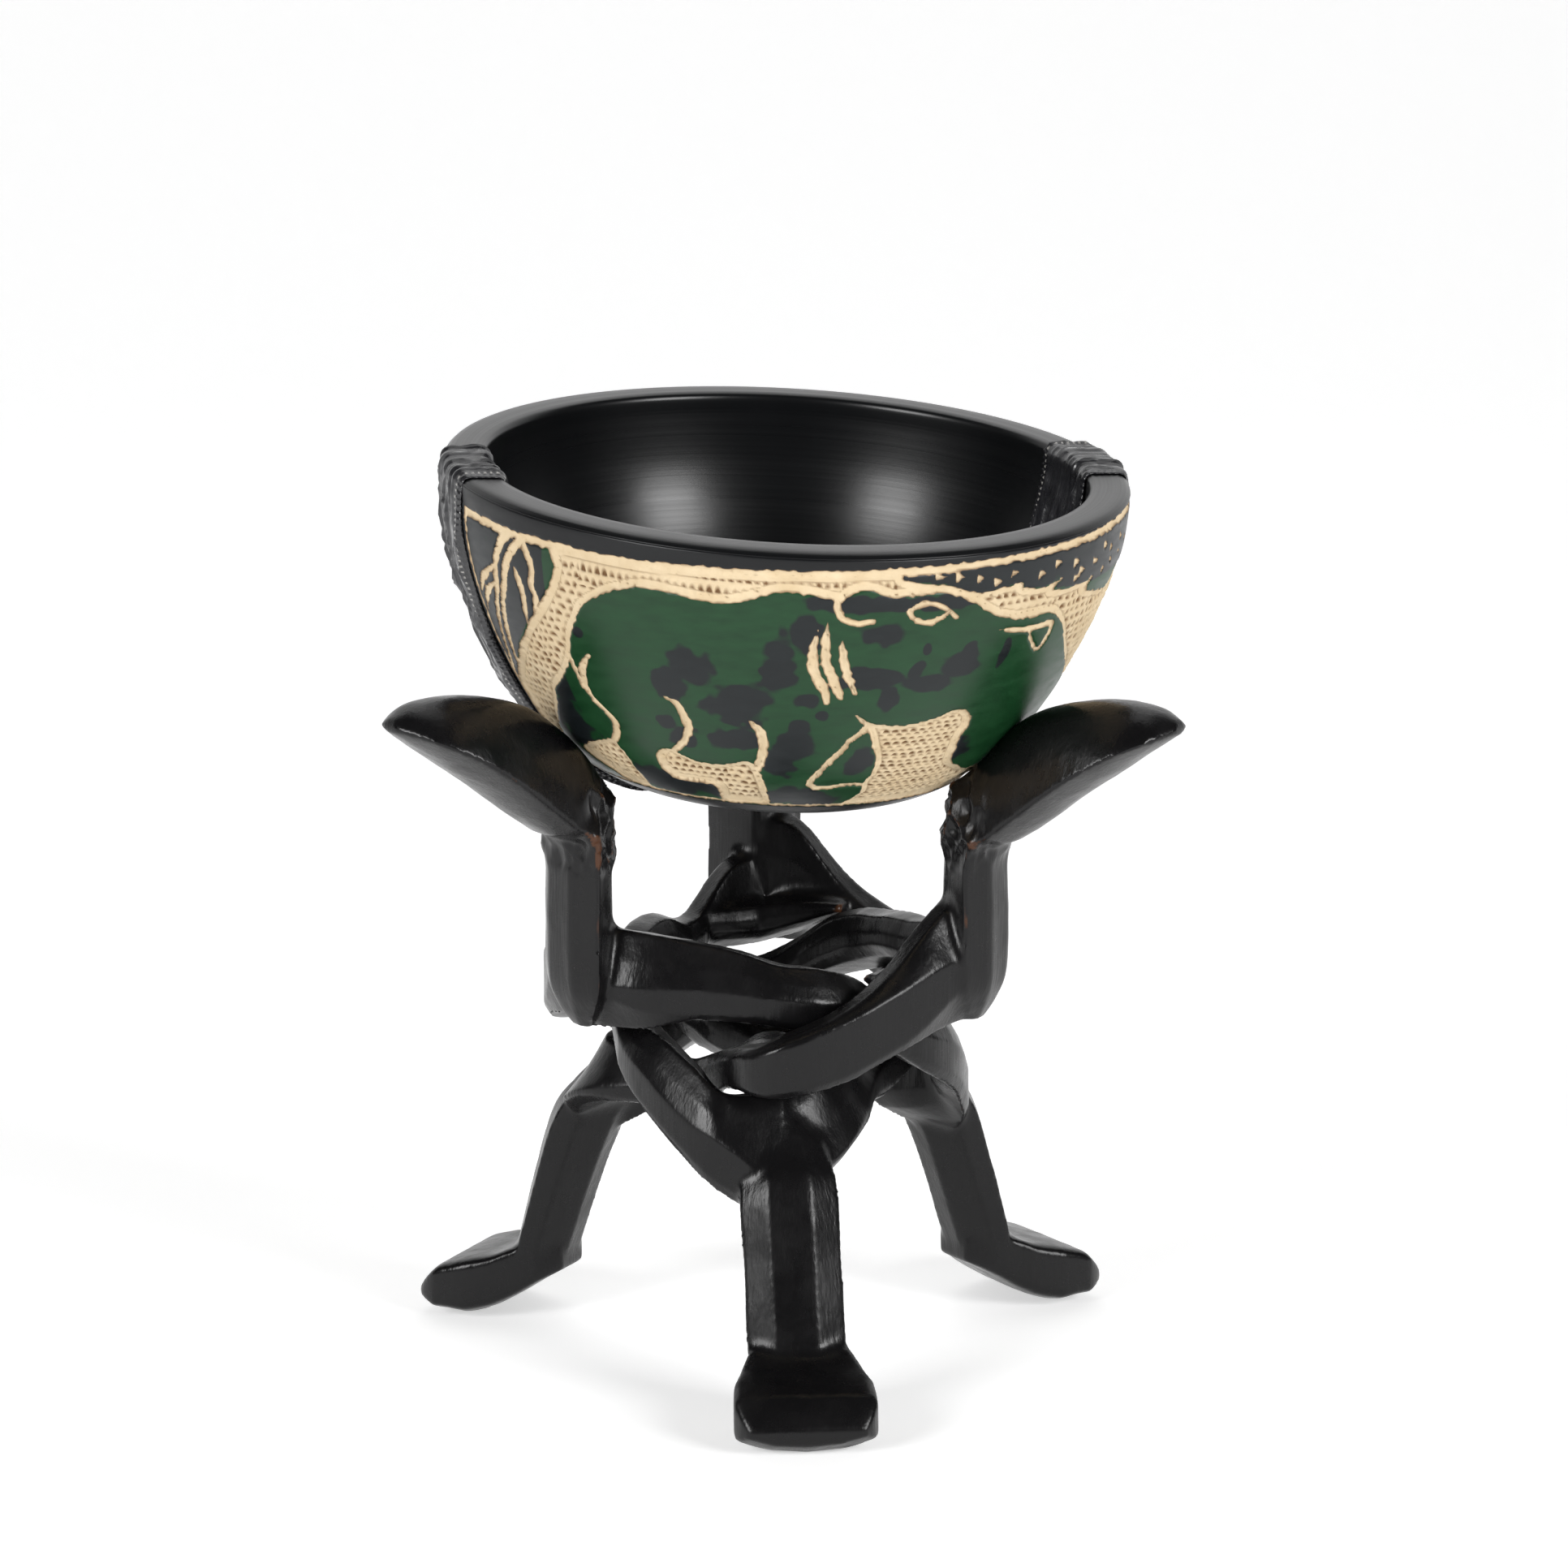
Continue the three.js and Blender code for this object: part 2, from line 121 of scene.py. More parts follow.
# Foot, from the heel to the toe: distance out, bottom, top, half width.
FOOT_SECTIONS = [
    (60, 14.5, 21.5, 6), (66, 11, 22.4, 11), (72, 6.8, 21, 13.8), (78, 3, 18.6, 16.2),
    (83.5, 0.6, 17.4, 17.9), (86, 0, 16.8, 18.4), (92, 0, 15, 18.8), (94.2, 0, 13.4, 18.4),
    (97, 1.6, 10.6, 17), (99.4, 3.4, 7.6, 15)]

# How the hand-carved legs differ: rest raised, foot moved across, rising strand's start lowered,
# knee ends of the falling and rising strands moved out, strands raised beside the post.
LEG_DIFFERENCES = {
    "leg_front": (2.2, -2.6, 11, 0, 0, 5),
    "leg_left": (4.2, 0, 0, 0, -2, 0),
    "leg_right": (0.4, 0, 3, 6, 0, 0),
}

# Marks of the carver's tools on the legs, as depths in mm.
SCOOP_DEPTH = 0.20
WAVE_DEPTH = 0.35
RIPPLE_DEPTH = 0.10
CHIP_DEPTH = 4.5
FILLET_ROUNDS = 80
FILLET_REACH = 2.6                # the furthest that an inner corner is filled
WORN_BEND = 0.10                  # how far an edge stands out where it counts as fully worn
REST_CLEARANCE = 0.35             # play between the bowl and a rest

# Each strap's azimuth, and the radius under the base where it ends.
STRAPS = {"strap_left": (186.7, 18.0), "strap_right": (12.8, 24.0)}
STRAP_HALF_WIDTH = 16.0
STRAP_INSIDE_DEPTH = 46.0
STRAP_GAP = 0.18                  # between the strap's under side and the bowl
TOOTH_PITCH = 1.7                 # the pinked edge
TOOTH_DEPTH = 0.55
SEAM_FROM_EDGE = 2.2              # the beaded seam
BEAD_PITCH = 1.55
BEAD_RADIUS = 0.62

RIM = [(79.35, -0.9), (79.8, -0.3), (80.5, 0), (82.5, 0.0), (85, 0), (87.4, 0), (88.5, -0.2),
       (89.3, -0.6), (89.75, -1.1)]
BASE = [(38.4, -82.8), (30, -82.2), (20, -82.0), (8, -82.0), (2, -82.0)]

# ---------------------------------------------------------------- the cut drawing on the wall
# A point is (azimuth in degrees, distance down the wall in mm); strokes add their half width.
DRAWING_MIDDLE = 279.8            # azimuth of the middle of the front drawing
BACK_MIDDLE = 99.75               # azimuth of the middle of the back drawing
BACK_NARROWING = 0.925            # the back panel is narrower between the straps
TOP_LINE = [(190, 8.2), (215, 8.1), (240, 7.5), (267, 6.0), (283, 5.3), (312, 4.0), (340, 3.3),
            (370, 3.6)]
TOP_LINE_HALF = 1.1
BOTTOM_LINE = 88.3
BOTTOM_LINE_HALF = 0.8
SIDE_LINE = (17.0, 18.5)          # the upright lines, from the middle of a strap
WALL_TOP = 1.9                    # the cut wall's top and bottom, and how deep its panels are let in
WALL_BOTTOM = 96.0
WALL_THICK = 2.6
WALL_PLAY = 0.02                  # between a panel and its recess
CUT_DEPTH = 0.8
FIELD_RISE = 0.25                 # how much less deep the gouged fields are than their borders
PIT_DEPTH = 1.2                   # a gouge mark below its field
# Gouge marks: width and height in mm, in the fields, the strip over the back, the front leg and
# the borders.
FIELD_MARKS = (2.8, 2.5)
STRIP_MARKS = (2.1, 3.2)
LEG_MARKS = (2.6, 1.5)
BORDER_MARKS = (2.1, 2.3)

# Cut lines: azimuth, distance down, half width.
STROKES = [
    # grass beside the left strap
    [(213, 8.5, 1.6), (210.5, 12.5, 1.4), (208.5, 18.5, 1.2), (207.5, 25.5, 1.1), (205.5, 32, 1.1),
     (204, 38.5, 1), (202.5, 47.5, 1), (200, 55, 0.9)],
    [(217, 8.5, 1.3), (214.5, 12, 1.5), (212, 17.5, 1.4), (210, 24.5, 1.3), (208, 31, 1.2),
     (206, 42, 1), (205.5, 48.5, 0.9)],
    [(217, 9.5, 1), (219, 15, 1.2), (218.5, 20, 1.1), (219, 24.5, 1), (217.5, 29, 0)],
    [(214.5, 17.5, 0.6), (215.5, 22.5, 1.2), (215.5, 28, 1.1), (215, 33, 0)],
    [(208.5, 19, 0.5), (204, 23, 1.3), (201.5, 26.5, 1), (200, 30, 0)],
    [(207, 24.5, 0.5), (203.5, 28, 1.1), (201.5, 31.5, 0.9), (200.5, 35, 0)],
    # hind legs
    [(230, 36.5, 0.1), (227.5, 41, 1.2), (226.5, 45, 1.3), (227, 51, 0.9), (229.5, 55.5, 0.9),
     (231, 58.5, 1.1), (230.5, 63, 1.1), (228, 67.5, 0.9)],
    [(224.5, 38, 0.4), (225, 43, 0.8), (225.8, 48.5, 0.9)],
    [(244, 46, 0.1), (246.5, 48, 1), (247.5, 52, 1.3), (248, 56, 1.3), (246.5, 61.5, 1.1),
     (243.5, 66, 0.9)],
    [(260, 50.5, 0.1), (262, 53.5, 1.2), (263, 57.5, 1.3), (263, 63, 1.2), (262, 69.5, 1.1)],
    # folds of the neck
    [(271.5, 21, 0.1), (271, 27, 1.2), (271.5, 33, 1.3), (273.5, 39, 1.2), (274.5, 43.5, 0.7)],
    [(273, 17.5, 0.1), (273, 24, 1.2), (273.5, 31, 1.3), (275.5, 37.5, 1.2), (277, 42, 0.7)],
    [(275.5, 22, 0.1), (276, 27, 1), (277, 33, 1.1), (279.5, 40.5, 0.7)],
    # ear, eye and nostril
    [(274, 12.5, 0.9), (274.5, 15.5, 1), (275.5, 17.8, 1), (277, 18.8, 1), (279, 18.8, 1),
     (280.7, 18.3, 0.8)],
    [(286.5, 16, 0.7), (288.5, 14.2, 0.8), (291, 14.2, 0.8), (293.5, 16, 0.8), (295.5, 18.6, 0.5)],
    [(286.5, 16, 0.7), (288, 18.3, 0.8), (290.5, 19.5, 0.8), (292.5, 18.5, 0.8), (294, 16.8, 0.7)],
    [(305, 23.8, 0.2), (309.5, 25, 0.8), (315, 25.4, 0.8), (318.5, 25.2, 0.8), (319, 28.5, 0.8),
     (317.3, 33, 0.6), (314, 29, 0.7), (313, 25.7, 0.7)],
    # front leg
    [(283.5, 52.4, 1), (280.5, 57.5, 1), (278.5, 63, 1), (276, 68.5, 1), (274.2, 74, 0.9),
     (275.8, 77, 0.9), (279, 76.6, 0.9), (284, 75.3, 0.9), (287, 76, 0.9)],
    [(280.5, 48, 0.1), (283, 51, 0.8), (286, 52.5, 0.8)],
]

# Outlines of the areas that are cut away: the ground round the animal, between its hooves and
# within its front leg.
GROUND = [
    (224.5, 8), (240, 7.5), (267, 6), (284, 5.3), (285, 7), (287.5, 8.3), (292.5, 9.1),
    (296.5, 11.2), (299, 12.2), (302, 12.1), (308, 11.1), (309, 12.8), (314, 13.8), (318.5, 12.4),
    (316.5, 15.4), (326, 16.1), (329, 15.4), (328, 18.8), (338.5, 21.5), (343, 17.5), (352, 15.5),
    (364, 16.5), (364, 92), (334, 92), (336, 71), (342, 64), (342, 56), (338.5, 49), (330, 38.7),
    (326.5, 34), (323.5, 28.5), (320, 24), (317.5, 22.2), (313.5, 21.8), (309.5, 21.8), (304.5, 20),
    (301, 17.3), (297.5, 14), (294.5, 12.2), (290.5, 11.4), (287, 11.8), (284, 12.2), (282.3, 11.6),
    (280.2, 10.4), (278.2, 10.1), (276.3, 11.2), (275.2, 13), (273.5, 12.6), (269.5, 11.3),
    (264.5, 11.2), (261.5, 12.7), (258, 14.5), (254.5, 15.3), (250.5, 14.8), (246, 14.1),
    (241, 14.1), (236, 16.6), (232.5, 19.7), (229.5, 23.2), (228, 27.3), (226, 32.2), (225, 38),
    (223, 43.7), (220.5, 47.8), (216.5, 53.4), (215, 58), (210.5, 68), (209, 76), (206, 86),
    (198, 86), (198, 70), (200, 58.6), (203.5, 51.8), (208.5, 43.7), (213.5, 35.6), (219.5, 26.3),
    (223, 18.8), (224.5, 13)]
REAR_HOOF = [(215, 75), (219, 71), (224, 68), (228.5, 66.5), (230.5, 72), (231, 79.5), (230, 88.5),
             (223, 88.5), (220.5, 84), (217.5, 79.5)]
MIDDLE_HOOF = [(239, 69), (242, 65), (245.5, 66.5), (248.5, 68.5), (254, 68.5), (260, 66.5),
               (262.5, 70.5), (264.5, 81), (264.5, 89), (253, 89), (252, 80), (247, 78.5),
               (242, 78.5), (239.5, 75)]
FRONT_LEG = [(283.5, 51.5), (290, 52.5), (297, 51), (302.5, 48.5), (306, 51), (307.5, 55.5),
             (307, 59.5), (307.8, 65.5), (309, 69.5), (313, 72.5), (321, 76), (336, 71), (340, 92),
             (289, 92), (288, 81), (287, 76), (288, 70), (287.5, 65.5), (285, 57.5)]

# Small cut triangles in the band: where the upright side of each has its middle.
TRIANGLES = [(290.5, 7), (294.5, 7.5), (298.5, 8.5), (302, 10), (305.5, 8), (312, 10), (316, 8),
             (321.5, 9.3), (328, 11), (323.5, 12), (322, 13.8), (332, 8), (335.5, 9.5), (336, 13.5),
             (332.5, 14.5), (341, 9), (341, 13), (346, 11), (351, 8.5), (351, 12.5), (356, 10.5)]
TRIANGLE_LENGTH = 2.7
TRIANGLE_HALF_HEIGHT = 1.3
# Charcoal blotches on the green: azimuth, distance down, half width, half height in mm.
BLOTCHES = [
    (250.5, 35, 5.5, 5), (245, 41.5, 5.5, 4.5), (259, 46, 8, 7.5), (265.5, 31, 4.5, 9),
    (243, 55, 2.6, 2.4), (266, 66, 5, 5), (228, 31, 1.5, 1.5), (218, 62, 8, 8), (269.5, 23, 4, 6),
    (283, 22, 6.5, 4), (291, 27, 1.5, 2), (290, 33, 2, 3), (282, 36, 6.5, 3.5), (294, 38.5, 8, 2.6),
    (299, 34, 5, 4), (300, 29, 2, 2), (308, 31, 1.5, 4.5), (286, 43, 3, 4), (274, 48, 1.6, 1.8),
    (271, 43, 4, 3), (284, 66, 4, 6), (269, 60, 5, 6), (304, 63, 9, 6), (240, 80, 14, 6),
    (272, 83, 11, 5), (285, 14, 24, 2.4), (256, 58, 9, 4), (247, 60, 4, 3), (270, 52, 3, 2.5),
    (276, 38, 2.5, 1.6)]

# ---------------------------------------------------------------- stage
VIEW_TARGET = (3.57, STAND_AXIS_Y, 154.88)
TABLE_SIDE, TABLE_RISE, TABLE_BEND, TABLE_BACK = 6.0, 4.0, 1.2, 2.6    # metres
# Area lights: place and edge in metres, power in watts. They point at LAMP_TARGET.
LAMPS = {
    "left_box": ((-1.55, -1.35, 0.95), 0.85, 31),
    "right_box": ((1.45, -1.45, 0.95), 0.85, 34),
    "top_box": ((0.1, 0.9, 2.2), 1.6, 8),
}
LAMP_TARGET = (0, 0, 0.15)


# ---------------------------------------------------------------- number helpers
def linear(hex_colour):
    """An sRGB hex colour as linear red, green, blue and alpha."""
    channels = np.array([int(hex_colour[i:i + 2], 16) for i in (1, 3, 5)]) / 255
    low = channels / 12.92
    high = ((channels + 0.055) / 1.055) ** 2.4
    return (*np.where(channels <= 0.04045, low, high).tolist(), 1.0)


def smoothstep(low, high, value):
    """0 below low, 1 above high, and an S-shaped rise between."""
    t = np.clip((value - low) / (high - low), 0, 1)
    return t * t * (3 - 2 * t)


def smooth_rows(table, keys):
    """Rows of a table at new keys: cubic pieces whose slope at a row is that between its neighbours."""
    t = np.asarray(table, float)
    x = t[:, 0]
    y = t[:, 1:]
    slope = np.empty_like(y)
    slope[1:-1] = (y[2:] - y[:-2]) / (x[2:] - x[:-2])[:, None]
    slope[0] = (y[1] - y[0]) / (x[1] - x[0])
    slope[-1] = (y[-1] - y[-2]) / (x[-1] - x[-2])
    i = np.clip(np.searchsorted(x, keys, side="right") - 1, 0, len(x) - 2)
    width = (x[i + 1] - x[i])[:, None]
    s = np.clip((keys - x[i])[:, None] / width, 0, 1)
    return ((1 + 2 * s) * (1 - s) ** 2 * y[i] + s * (1 - s) ** 2 * width * slope[i]
            + s * s * (3 - 2 * s) * y[i + 1] + s * s * (s - 1) * width * slope[i + 1])


def along_table(rows, count, start=0):
    """The columns of a table at evenly spaced places from row to row, smoothly joined."""
    table = np.column_stack([np.arange(len(rows)), rows])
    return smooth_rows(table, np.linspace(start, len(rows) - 1, count)).T


def arc_length(points):
    """Length along a line of points, from its start to each of them."""
    return np.concatenate([[0], np.cumsum(np.linalg.norm(np.diff(points, axis=0), axis=1))])


def around_axis(radius, angle, height):
    """Points at a radius, an angle and a height about the upright axis."""
    radius, angle, height = np.broadcast_arrays(radius, angle, height)
    return np.stack([radius * np.cos(angle), radius * np.sin(angle), height], -1)


def scatter(i, j, k, seed):
    """An even random number from 0 to 1 for each whole-number cell."""
    n = i * 374761393 + j * 668265263 + k * 2147483647 + seed * 974634777
    n = (n ^ (n >> 13)) * 1274126177
    return ((n ^ (n >> 16)) & 0xFFFFFF) / 0xFFFFFF


def cloud(points, size, seed):
    """Smooth noise from 0 to 1: random values on a lattice of the given sizes, blended between."""
    q = points / np.asarray(size, float)
    cell = np.floor(q).astype(np.int64)
    f = q - cell
    f = f * f * (3 - 2 * f)
    total = np.zeros(q.shape[:-1])
    for corner in np.ndindex(2, 2, 2):
        weight = np.prod(np.where(corner, f, 1 - f), axis=-1)
        total += weight * scatter(*np.moveaxis(cell + corner, -1, 0), seed)
    return total


def nearest_cell(points, size, seed):
    """Distance to the nearest of a cloud of points, one in each lattice cell, in cell sizes."""
    q = points / np.asarray(size, float)
    cell = np.floor(q).astype(np.int64)
    best = np.full(len(points), 9.0)
    for corner in np.ndindex(3, 3, 3):
        c = cell + corner - 1
        spot = c + np.stack([scatter(*c.T, seed + n) for n in range(3)], 1)
        best = np.minimum(best, np.linalg.norm(q - spot, axis=1))
    return best


def rotation_z(degrees):
    """A turn about the upright axis."""
    c, s = np.cos(np.radians(degrees)), np.sin(np.radians(degrees))
    return np.array([[c, -s, 0], [s, c, 0], [0, 0, 1]])


def bowl_rotation():
    """The bowl's lean: first to the right about Y, then to the front about X."""
    f, r = np.radians(BOWL_LEAN_FRONT), np.radians(BOWL_LEAN_RIGHT)
    about_x = np.array([[1, 0, 0], [0, np.cos(f), -np.sin(f)], [0, np.sin(f), np.cos(f)]])
    about_y = np.array([[np.cos(r), 0, np.sin(r)], [0, 1, 0], [-np.sin(r), 0, np.cos(r)]])
    return about_x @ about_y


def place_bowl(points):
    """Points in the bowl's own frame, mm, moved onto the stand, in metres."""
    return (points @ bowl_rotation().T + BOWL_CENTRE) * MM


# ---------------------------------------------------------------- mesh helpers
def grid_faces(rows, columns, closed, first=0):
    """Quads between neighbouring rows of a grid of points, going round if it is closed."""
    i = np.arange(rows - 1)[:, None]
    j = np.arange(columns if closed else columns - 1)[None, :]
    k = (j + 1) % columns
    a, b = i * columns + j, i * columns + k
    return np.stack([a, b, b + columns, a + columns], -1).reshape(-1, 4) + first


def tube(loops):
    """Points and faces of a closed body through a row of closed loops, its ends capped by fans."""
    rows, columns = loops.shape[:2]
    points = np.concatenate([loops.reshape(-1, 3), loops[:1].mean(1), loops[-1:].mean(1)])
    sides = grid_faces(rows, columns, True)
    j = np.arange(columns)
    k = (j + 1) % columns
    start = np.stack([k, j, np.full(columns, rows * columns)], 1)
    end = np.stack([j, k, np.full(columns, 0)], 1) + (rows - 1) * columns
    end[:, 2] = rows * columns + 1
    faces = [*sides.tolist(), *start.tolist(), *end.tolist()]
    return points, faces


def read(items, key, width, kind=float):
    """One property of all the vertices, edges or triangles of a mesh, as rows of numbers."""
    values = np.empty(len(items) * width, kind)
    items.foreach_get(key, values)
    return values.reshape(-1, width)


def write_points(mesh, points):
    """Put vertices, in mm, into a mesh."""
    mesh.vertices.foreach_set("co", (points * MM).ravel())
    mesh.update()


def new_object(name, data):
    """An object of the scene, at the origin, for a mesh, a light or a camera."""
    made = bpy.data.objects.new(name, data)
    bpy.context.scene.collection.objects.link(made)
    return made


def new_piece(name, points, faces):
    """A smooth mesh object, its faces turned outwards by the sign of its volume."""
    mesh = bpy.data.meshes.new(name)
    mesh.from_pydata(points.tolist(), [], faces)
    mesh.calc_loop_triangles()
    triangles = read(mesh.loop_triangles, "vertices", 3, np.int64)
    a, b, c = np.moveaxis(read(mesh.vertices, "co", 3)[triangles], 1, 0)
    if np.einsum("ij,ij->", a, np.cross(b, c)) < 0:
        mesh.flip_normals()
    mesh.polygons.foreach_set("use_smooth", np.ones(len(mesh.polygons), bool))
    mesh.update()
    return new_object(name, mesh)


def store(mesh, name, values):
    """Keep one number for each vertex of a mesh, for its material to read."""
    mesh.attributes.new(name, "FLOAT", "POINT").data.foreach_set("value", values.astype(np.float32))


def neighbour_mean(values, edges):
    """For each vertex, the mean of a value over the vertices it shares an edge with."""
    count = len(values)
    a, b = edges[:, 0], edges[:, 1]
    number = np.bincount(a, minlength=count) + np.bincount(b, minlength=count)
    flat = values.reshape(count, -1)
    total = np.stack([np.bincount(a, flat[b, n], count) + np.bincount(b, flat[a, n], count)
                      for n in range(flat.shape[1])], 1)
    return (total / np.maximum(number, 1)[:, None]).reshape(values.shape)


# ---------------------------------------------------------------- legs
def fill_edges(corners, steps):
    """Loops of corner points with each straight side cut into equal steps."""
    after = np.roll(corners, -1, axis=1)
    t = (np.arange(steps) / steps)[None, None, :, None]
    filled = corners[:, :, None] * (1 - t) + after[:, :, None] * t
    return filled.reshape(len(corners), -1, corners.shape[-1])


def strand_tube(table, direction, knee=0, drop=0, flare=0):
    """A strand: a nine-cornered section, with its smooth outer band, its ridge and the hollow above
    it, carried round the stand's axis. Its lower outer edge is cut away beside the post, and bell
    curves of the angle move its knee out and its start down or up."""
    angles = np.linspace(table[0][0], table[-1][0], 92)
    bevel = 0.14 + 0.26 * (1 - smoothstep(4, 30, angles))
    outer, inner, bottom, ridge, top = smooth_rows(table, angles).T
    lower = drop * np.exp(-((angles - 28) / 20) ** 2) - flare * np.exp(-((angles - 11) / 10) ** 2)
    outer = outer + knee * np.exp(-((angles - 156) / 16) ** 2)
    bottom = bottom - 0.5 * np.maximum(lower, 0)
    ridge = ridge - 0.75 * lower
    top = top - lower
    depth, height, hollow = outer - inner, top - bottom, top - ridge
    dip = 0.12 if direction < 0 else 0.04
    corners = np.stack([np.stack(corner, 1) for corner in (
        (outer - bevel * depth, bottom),
        (outer, bottom + bevel * height),
        (outer, ridge - 0.06 * height),
        (outer - 0.14 * depth - dip * hollow, ridge + 0.4 * hollow),
        (outer - 0.3 * depth - 0.2 * hollow, top),
        (inner + 0.12 * depth, top - 0.06 * height),
        (inner, top - 0.3 * height),
        (inner, bottom + 0.3 * height + 0.35 * hollow),
        (inner + 0.2 * depth, bottom + 0.04 * height + 0.5 * hollow))], 1)
    section = fill_edges(corners, 4)
    around = np.radians(direction * angles)[:, None]
    return tube(around_axis(section[..., 0], around, section[..., 1]))


def rest_tube(raise_by):
    """Rest and post: sections with an arched upper side and a flatter under side, carried up the
    post and out along the rest. On the post the arch becomes a wedge and the outside three flats."""
    u, z, lean, half, upper, under, wedge = along_table(REST_SECTIONS, 110)
    z = z + raise_by * smoothstep(130, 145, z)
    lean = np.radians(lean)
    s = np.concatenate([np.linspace(-1, 1, 25)[:-1], np.linspace(1, -1, 17)[:-1]])
    arched = 1 - np.abs(s) ** 2.4
    wedged = 1 - np.abs(s) ** 1.45
    rise = upper[:, None] * (wedge[:, None] * wedged + (1 - wedge[:, None]) * arched)
    flats = np.minimum(1, (1 - np.abs(s)) / 0.58)
    fall = under[:, None] * (wedge[:, None] * flats + (1 - wedge[:, None]) * (1 - s * s))
    off = np.where(np.arange(len(s)) < 24, rise, -fall)    # 24 points above, 16 below
    x = u[:, None] - np.sin(lean)[:, None] * off
    height = z[:, None] + np.cos(lean)[:, None] * off
    return tube(np.stack([x, half[:, None] * s, height], -1))


def shin_tube(foot_shift):
    """Shin: a wedge of the log with three outer flats, carried down to the foot."""
    outer, outer_z, inner, inner_z, half = along_table(SHIN_SECTIONS, 72)
    s = np.array([0, 0, 0.45, 0.82, 1.1, 1.1, 0.82, 0.45])
    across = np.array([-0.3, 0.3, 0.85, 1, 0.42, -0.42, -1, -0.85])
    aside = foot_shift * (1 - outer_z / SHIN_SECTIONS[0][1])
    x = -(inner[:, None] + (outer - inner)[:, None] * s)
    y = half[:, None] * across + aside[:, None]
    z = inner_z[:, None] + (outer_z - inner_z)[:, None] * s
    return tube(fill_edges(np.stack([x, y, z], -1), 6))


def foot_tube(foot_shift):
    """Foot: upright sections, square-shouldered above and lifted at the sides of the sole, that
    widen from the heel and close in to the toe."""
    out, bottom, top, half = along_table(FOOT_SECTIONS, 60)
    turn = np.linspace(0, 2 * np.pi, 96, endpoint=False)
    c, s = np.cos(turn), np.sin(turn)
    across = np.sign(c) * np.abs(c) ** 0.22
    up = np.sign(s) * np.abs(s) ** 0.22
    middle, tall = (top + bottom) / 2, (top - bottom) / 2
    y = half[:, None] * across
    lift = 3.2 * np.maximum(np.abs(y) - 7, 0) / 12 * np.maximum(-up, 0)
    z = np.maximum(middle[:, None] + tall[:, None] * up + lift * smoothstep(66, 92, out)[:, None], 0)
    y = y + foot_shift
    return tube(np.stack([np.broadcast_to(-out[:, None], y.shape), y, z], -1))


def clear_of_bowl(points):
    """Points, mm, pushed out of the room the bowl takes, along the bowl's own surface normal."""
    local = (points - BOWL_CENTRE) @ bowl_rotation()
    r, z = np.hypot(local[:, 0], local[:, 1]), local[:, 2]
    path = np.array(BOWL_OUTSIDE + [(0, -82.8)], float)
    best = np.full(len(points), 1e9)
    away = np.zeros((len(points), 2))
    for a, b in zip(path[:-1], path[1:]):
        side = b - a
        t = np.clip(((r - a[0]) * side[0] + (z - a[1]) * side[1]) / (side @ side), 0, 1)
        gap = np.stack([r - a[0] - t * side[0], z - a[1] - t * side[1]], 1)
        outward = np.array([-side[1], side[0]]) / np.linalg.norm(side)
        if outward[0] * (a[0] + b[0]) - outward[1] * 10 < 0:
            outward = -outward
        signed = gap @ outward
        distance = np.linalg.norm(gap, axis=1)
        closer = distance < np.abs(best)
        best = np.where(closer, np.where(signed < 0, -distance, distance), best)
        away[closer] = outward
    push = np.where(z < 0, np.maximum(REST_CLEARANCE - best, 0), 0)
    push = np.where(push > 12, 0, push)    # points deeper in than this are not at the wall
    radial = np.stack([local[:, 0] / np.maximum(r, 1e-6), local[:, 1] / np.maximum(r, 1e-6)], 1)
    local[:, :2] += radial * (away[:, :1] * push[:, None])
    local[:, 2] += away[:, 1] * push
    return local @ bowl_rotation().T + BOWL_CENTRE


def fillet_hollows(skin, edges):
    """Points of a skin, mm, with its inner corners filled smoothly and its outer edges kept sharp:
    each round moves a point towards the mean of its neighbours, but only where it lies in a hollow."""
    points = read(skin.vertices, "co", 3) / MM
    start = points
    for n in range(FILLET_ROUNDS):
        if n % 6 == 0:
            write_points(skin, points)
            normals = read(skin.vertex_normals, "vector", 3)
        pull = neighbour_mean(points, edges) - points
        hollow = smoothstep(0, 0.03, np.einsum("ij,ij->i", pull, normals))
        points = points + 0.6 * pull * hollow[:, None]
        moved = points - start
        length = np.maximum(np.linalg.norm(moved, axis=1), 1e-9)
        points = start + moved * np.minimum(1, FILLET_REACH / length)[:, None]
    points = points + 0.4 * (neighbour_mean(points, edges) - points)
    write_points(skin, points)
    return points


def joined_skin(name, parts, turn, voxel):
    """One mesh round several tubes: they are turned into place and joined by a voxel remesh."""
    points, faces, first = [], [], 0
    for part_points, part_faces in parts:
        mesh = new_piece(name + "_part", part_points * MM, part_faces).data
        local = read(mesh.vertices, "co", 3)
        points.append(local @ turn.T + np.array([0, STAND_AXIS_Y * MM, 0]))
        faces += [[v + first for v in polygon.vertices] for polygon in mesh.polygons]
        first += len(local)
        bpy.data.meshes.remove(mesh)
    rough = new_piece(name + "_rough", np.concatenate(points), faces)
    remesh = rough.modifiers.new("one_skin", "REMESH")
    remesh.mode = "VOXEL"
    remesh.voxel_size = voxel * MM
    skin = bpy.data.meshes.new_from_object(rough.evaluated_get(bpy.context.evaluated_depsgraph_get()))
    bpy.data.meshes.remove(rough.data)
    skin.name = name + "_carved"
    return skin


